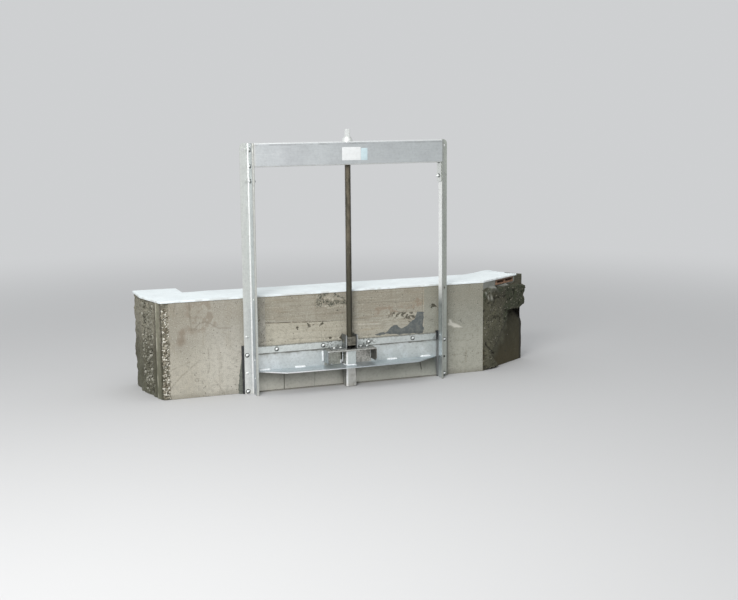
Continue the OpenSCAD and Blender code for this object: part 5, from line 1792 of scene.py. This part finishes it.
def weld_beads():
    """Stitches over and under the rib, and beads at the column's foot and sides and along the gussets."""
    back, top = rib_high.y, rib_high.z
    seam, over, below = back - 0.001, top + 0.001, rib_low.z - 0.001
    upper = [(-0.517, -0.449), (-0.311, -0.247), (0.237, 0.299), (0.442, 0.506)]
    lower = [(-0.42, -0.36), (-0.16, -0.1), (0.11, 0.17), (0.38, 0.44)]
    beads = [bead((a, seam, over), (b, seam, over), 0.0065, k) for k, (a, b) in enumerate(upper)]
    beads += [bead((a, seam, below), (b, seam, below), 0.004, 9 + k) for k, (a, b) in enumerate(lower)]
    for x in (column_low.x, column_high.x):
        beads.append(bead((x, back - 0.052, over), (x, back, over), 0.004, 20))
        beads.append(bead((x, seam, top + 0.006), (x, seam, column_high.z - 0.003), 0.0035, 21))
    front = column_low.y
    beads.append(bead((column_low.x, front, over), (column_high.x, front, over), 0.0045, 22))
    for name, sides in (("gusset_left", (0.0055, 0.003)), ("gusset_right", (0.0015, 0.003))):
        low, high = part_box(name)
        for x, size in zip((low.x - 0.004 * (name == "gusset_left"), high.x), sides):
            beads.append(bead((x, seam, low.z + 0.002), (x, seam, high.z - 0.002), size, 23))
    beads.append(bead((-0.104, seam, over), (-0.092, seam, over), 0.005, 30))
    beads.append(bead((-0.041, seam, top + 0.002), (-0.041, seam, top + 0.026), 0.004, 31))
    make_piece("weld_beads", beads, LEAF, weld, (), 60)


weld_beads()

# %% [markdown]
# ## Bare label plates
# Two label plates sit in the middle of the yoke, one white and one paler green-grey. They are left bare. A
# plate is a thin cushion: rounded corners, a face that curls down at its rim.

# %% Label plates
def label_plate(name, x0, x1, z0, z1, finish):
    """Rings from the middle of the back over the rim to the middle of the face, corners rounded by 3 mm."""
    r = 0.003
    arcs = []
    corners = [(x1 - r, z1 - r, 0), (x0 + r, z1 - r, 90), (x0 + r, z0 + r, 180), (x1 - r, z0 + r, 270)]
    for cx, cz, start in corners:
        angle = np.radians(start + np.linspace(0, 90, 6))
        arcs.append(np.stack([cx + r * np.cos(angle), cz + r * np.sin(angle)], axis=1))
    outline = np.concatenate(arcs)
    middle = outline.mean(axis=0)
    shares = np.array([0, 0.5, 0.99, 1.0, 0.995, 0.97, 0.5, 0])
    depth = np.array([0, 0, 0, -0.0002, -0.0005, -0.0007, -0.0007, -0.0007]) + 0.0001
    plan = middle + shares[:, None, None] * (outline - middle)
    y = np.broadcast_to(yoke_low.y + depth[:, None], plan.shape[:2])
    rings = np.stack([plan[..., 0], y, plan[..., 1]], axis=2)
    make_piece(name, [rings], WALL, finish, (), 30)


label_plate("white_label", -0.050, 0.057, 1.255, 1.326, film)
label_plate("pale_label", 0.059, 0.096, 1.254, 1.319, pale_film)

# %% [markdown]
# ## Putty beside the left guide
# A bead of dark putty seals the left guide to the wall. It starts as nothing 190 mm above the water and
# widens downwards, lumpy, until it is about 22 mm wide.

# %% Putty bead
def putty_bead():
    """Sections up the wall: a quarter round between guide and wall, its width falling with the height."""
    x = -guide_high.x
    count = 62
    heights = np.linspace(0.0, 0.19, count)
    width = np.interp(heights, [0, 0.04, 0.1, 0.15, 0.19], [0.022, 0.02, 0.014, 0.007, 0.001])
    angle = np.linspace(0, math.pi / 2, 9)
    lumps = rough(np.stack([np.full(count, x), np.zeros(count), heights], axis=1), 0.02, 3, 90)
    reach = width * (1 + 0.2 * lumps)
    swell = np.minimum(reach * 0.6, 0.014)
    curve_x = x - reach[:, None] * np.cos(angle)
    curve_y = -swell[:, None] * np.sin(angle)
    closing_x = np.full((count, 2), x + 0.001)
    closing_y = np.stack([-swell, np.full(count, 0.001)], axis=1)
    corner = np.stack([x - reach, np.full(count, 0.001)], axis=1)
    ring_x = np.concatenate([curve_x, closing_x, corner[:, :1]], axis=1)
    ring_y = np.concatenate([curve_y, closing_y, corner[:, 1:]], axis=1)
    rings = np.stack([ring_x, ring_y, np.broadcast_to(heights[:, None], ring_x.shape)], axis=2)
    ends = [np.broadcast_to(rings[k].mean(axis=0), rings[k].shape)[None] for k in (0, -1)]
    rings = np.concatenate([ends[0], rings, ends[1]])
    make_piece("putty_bead", [rings], WALL, putty, (), 60)


putty_bead()

# %% [markdown]
# ## Floor and light
# The gate stands on a plain pale floor under an even, overcast light. A large lamp from the front and above
# gives the folds their shape, and a second, weaker one hangs overhead. The background is plain for the camera
# and a little paler for reflections, and it lights the surfaces evenly.

# %% Stage
pale_tone = (0.74, 0.75, 0.76)
eye_tone = (0.62, 0.63, 0.64)


def floor_plane():
    """A flat square under the object: darker to the light it throws back, pale to the eye, far off a glow."""
    line = np.linspace(-30, 30, 3)
    x, y = np.meshgrid(line, line)
    points = np.stack([x, y, np.full_like(x, -0.001)], axis=-1).reshape(-1, 3)
    mesh = fill_mesh("floor", points, quads(3, 3, False))
    f = Finish("floor_paint", grey(0.4), 0.95)
    eye, seen = f.rays()
    mirrored = f.blend(f.cloud(1.5, 2.0) * 0.3, grey(0.6), grey(0.58))
    f.colour = f.blend(seen, grey(0.38), f.blend(eye, grey(0.73), mirrored))
    f.show()
    away = f.node("ShaderNodeVectorMath", {"operation": "LENGTH"}, {0: f.place}, "Value")
    glow = f.node("ShaderNodeEmission", None, {"Color": f.blend(eye, pale_tone, eye_tone), "Strength": 1.0})
    lit = Wire(f, f.surface.outputs[0])
    mixed = f.node("ShaderNodeMixShader", None, {0: f.band(away, 2.0, 7.0) * seen, 1: lit, 2: glow})
    f.feed(f.tree.nodes["Material Output"].inputs["Surface"], mixed)
    mesh.materials.append(f.material)
    plane = bpy.data.objects.new("floor", mesh)
    bpy.context.scene.collection.objects.link(plane)


print("pale tone", pale_tone, "tone for the eye", eye_tone)

# %% Lamps and background
def area_lamp(name, place, aim, size, power, colour):
    lamp = bpy.data.lights.new(name, "AREA")
    lamp.shape = "DISK"
    lamp.size = size
    lamp.energy = power
    lamp.color = colour
    holder = bpy.data.objects.new(name, lamp)
    holder.location = place
    holder.rotation_euler = (Vector(aim) - Vector(place)).to_track_quat("-Z", "Y").to_euler()
    bpy.context.scene.collection.objects.link(holder)


def pale_world():
    """Light of one strength for the surfaces, and plain tones for the camera and for reflections."""
    world = bpy.data.worlds.new("pale_world")
    bpy.context.scene.world = world
    world.use_nodes = True
    world.node_tree.nodes.clear()
    w = Nodes(world.node_tree)
    eye, seen = w.rays()
    light = w.node("ShaderNodeBackground", None, {"Color": (0.96, 0.98, 1.0), "Strength": 0.6})
    pale = w.node("ShaderNodeBackground", None, {"Color": w.blend(eye, pale_tone, eye_tone)})
    mixed = w.node("ShaderNodeMixShader", None, {0: seen, 1: light, 2: pale})
    out = world.node_tree.nodes.new("ShaderNodeOutputWorld")
    w.feed(out.inputs["Surface"], mixed)


floor_plane()
area_lamp("key", (-3.4, -4.4, 3.4), (-0.2, 0, 0.6), 3.2, 250, (1.0, 0.995, 0.985))
area_lamp("sky", (-0.6, -0.6, 5.2), (0, 0, 0.4), 4.5, 40, (0.97, 0.99, 1.0))
pale_world()
bpy.context.scene.view_settings.view_transform = "Standard"
print("stage is set")

# %% [markdown]
# ## The last update
# The dressed gate must keep the model's size. The last call brings the view layer up to date.

# %% Finish
bpy.context.view_layer.update()
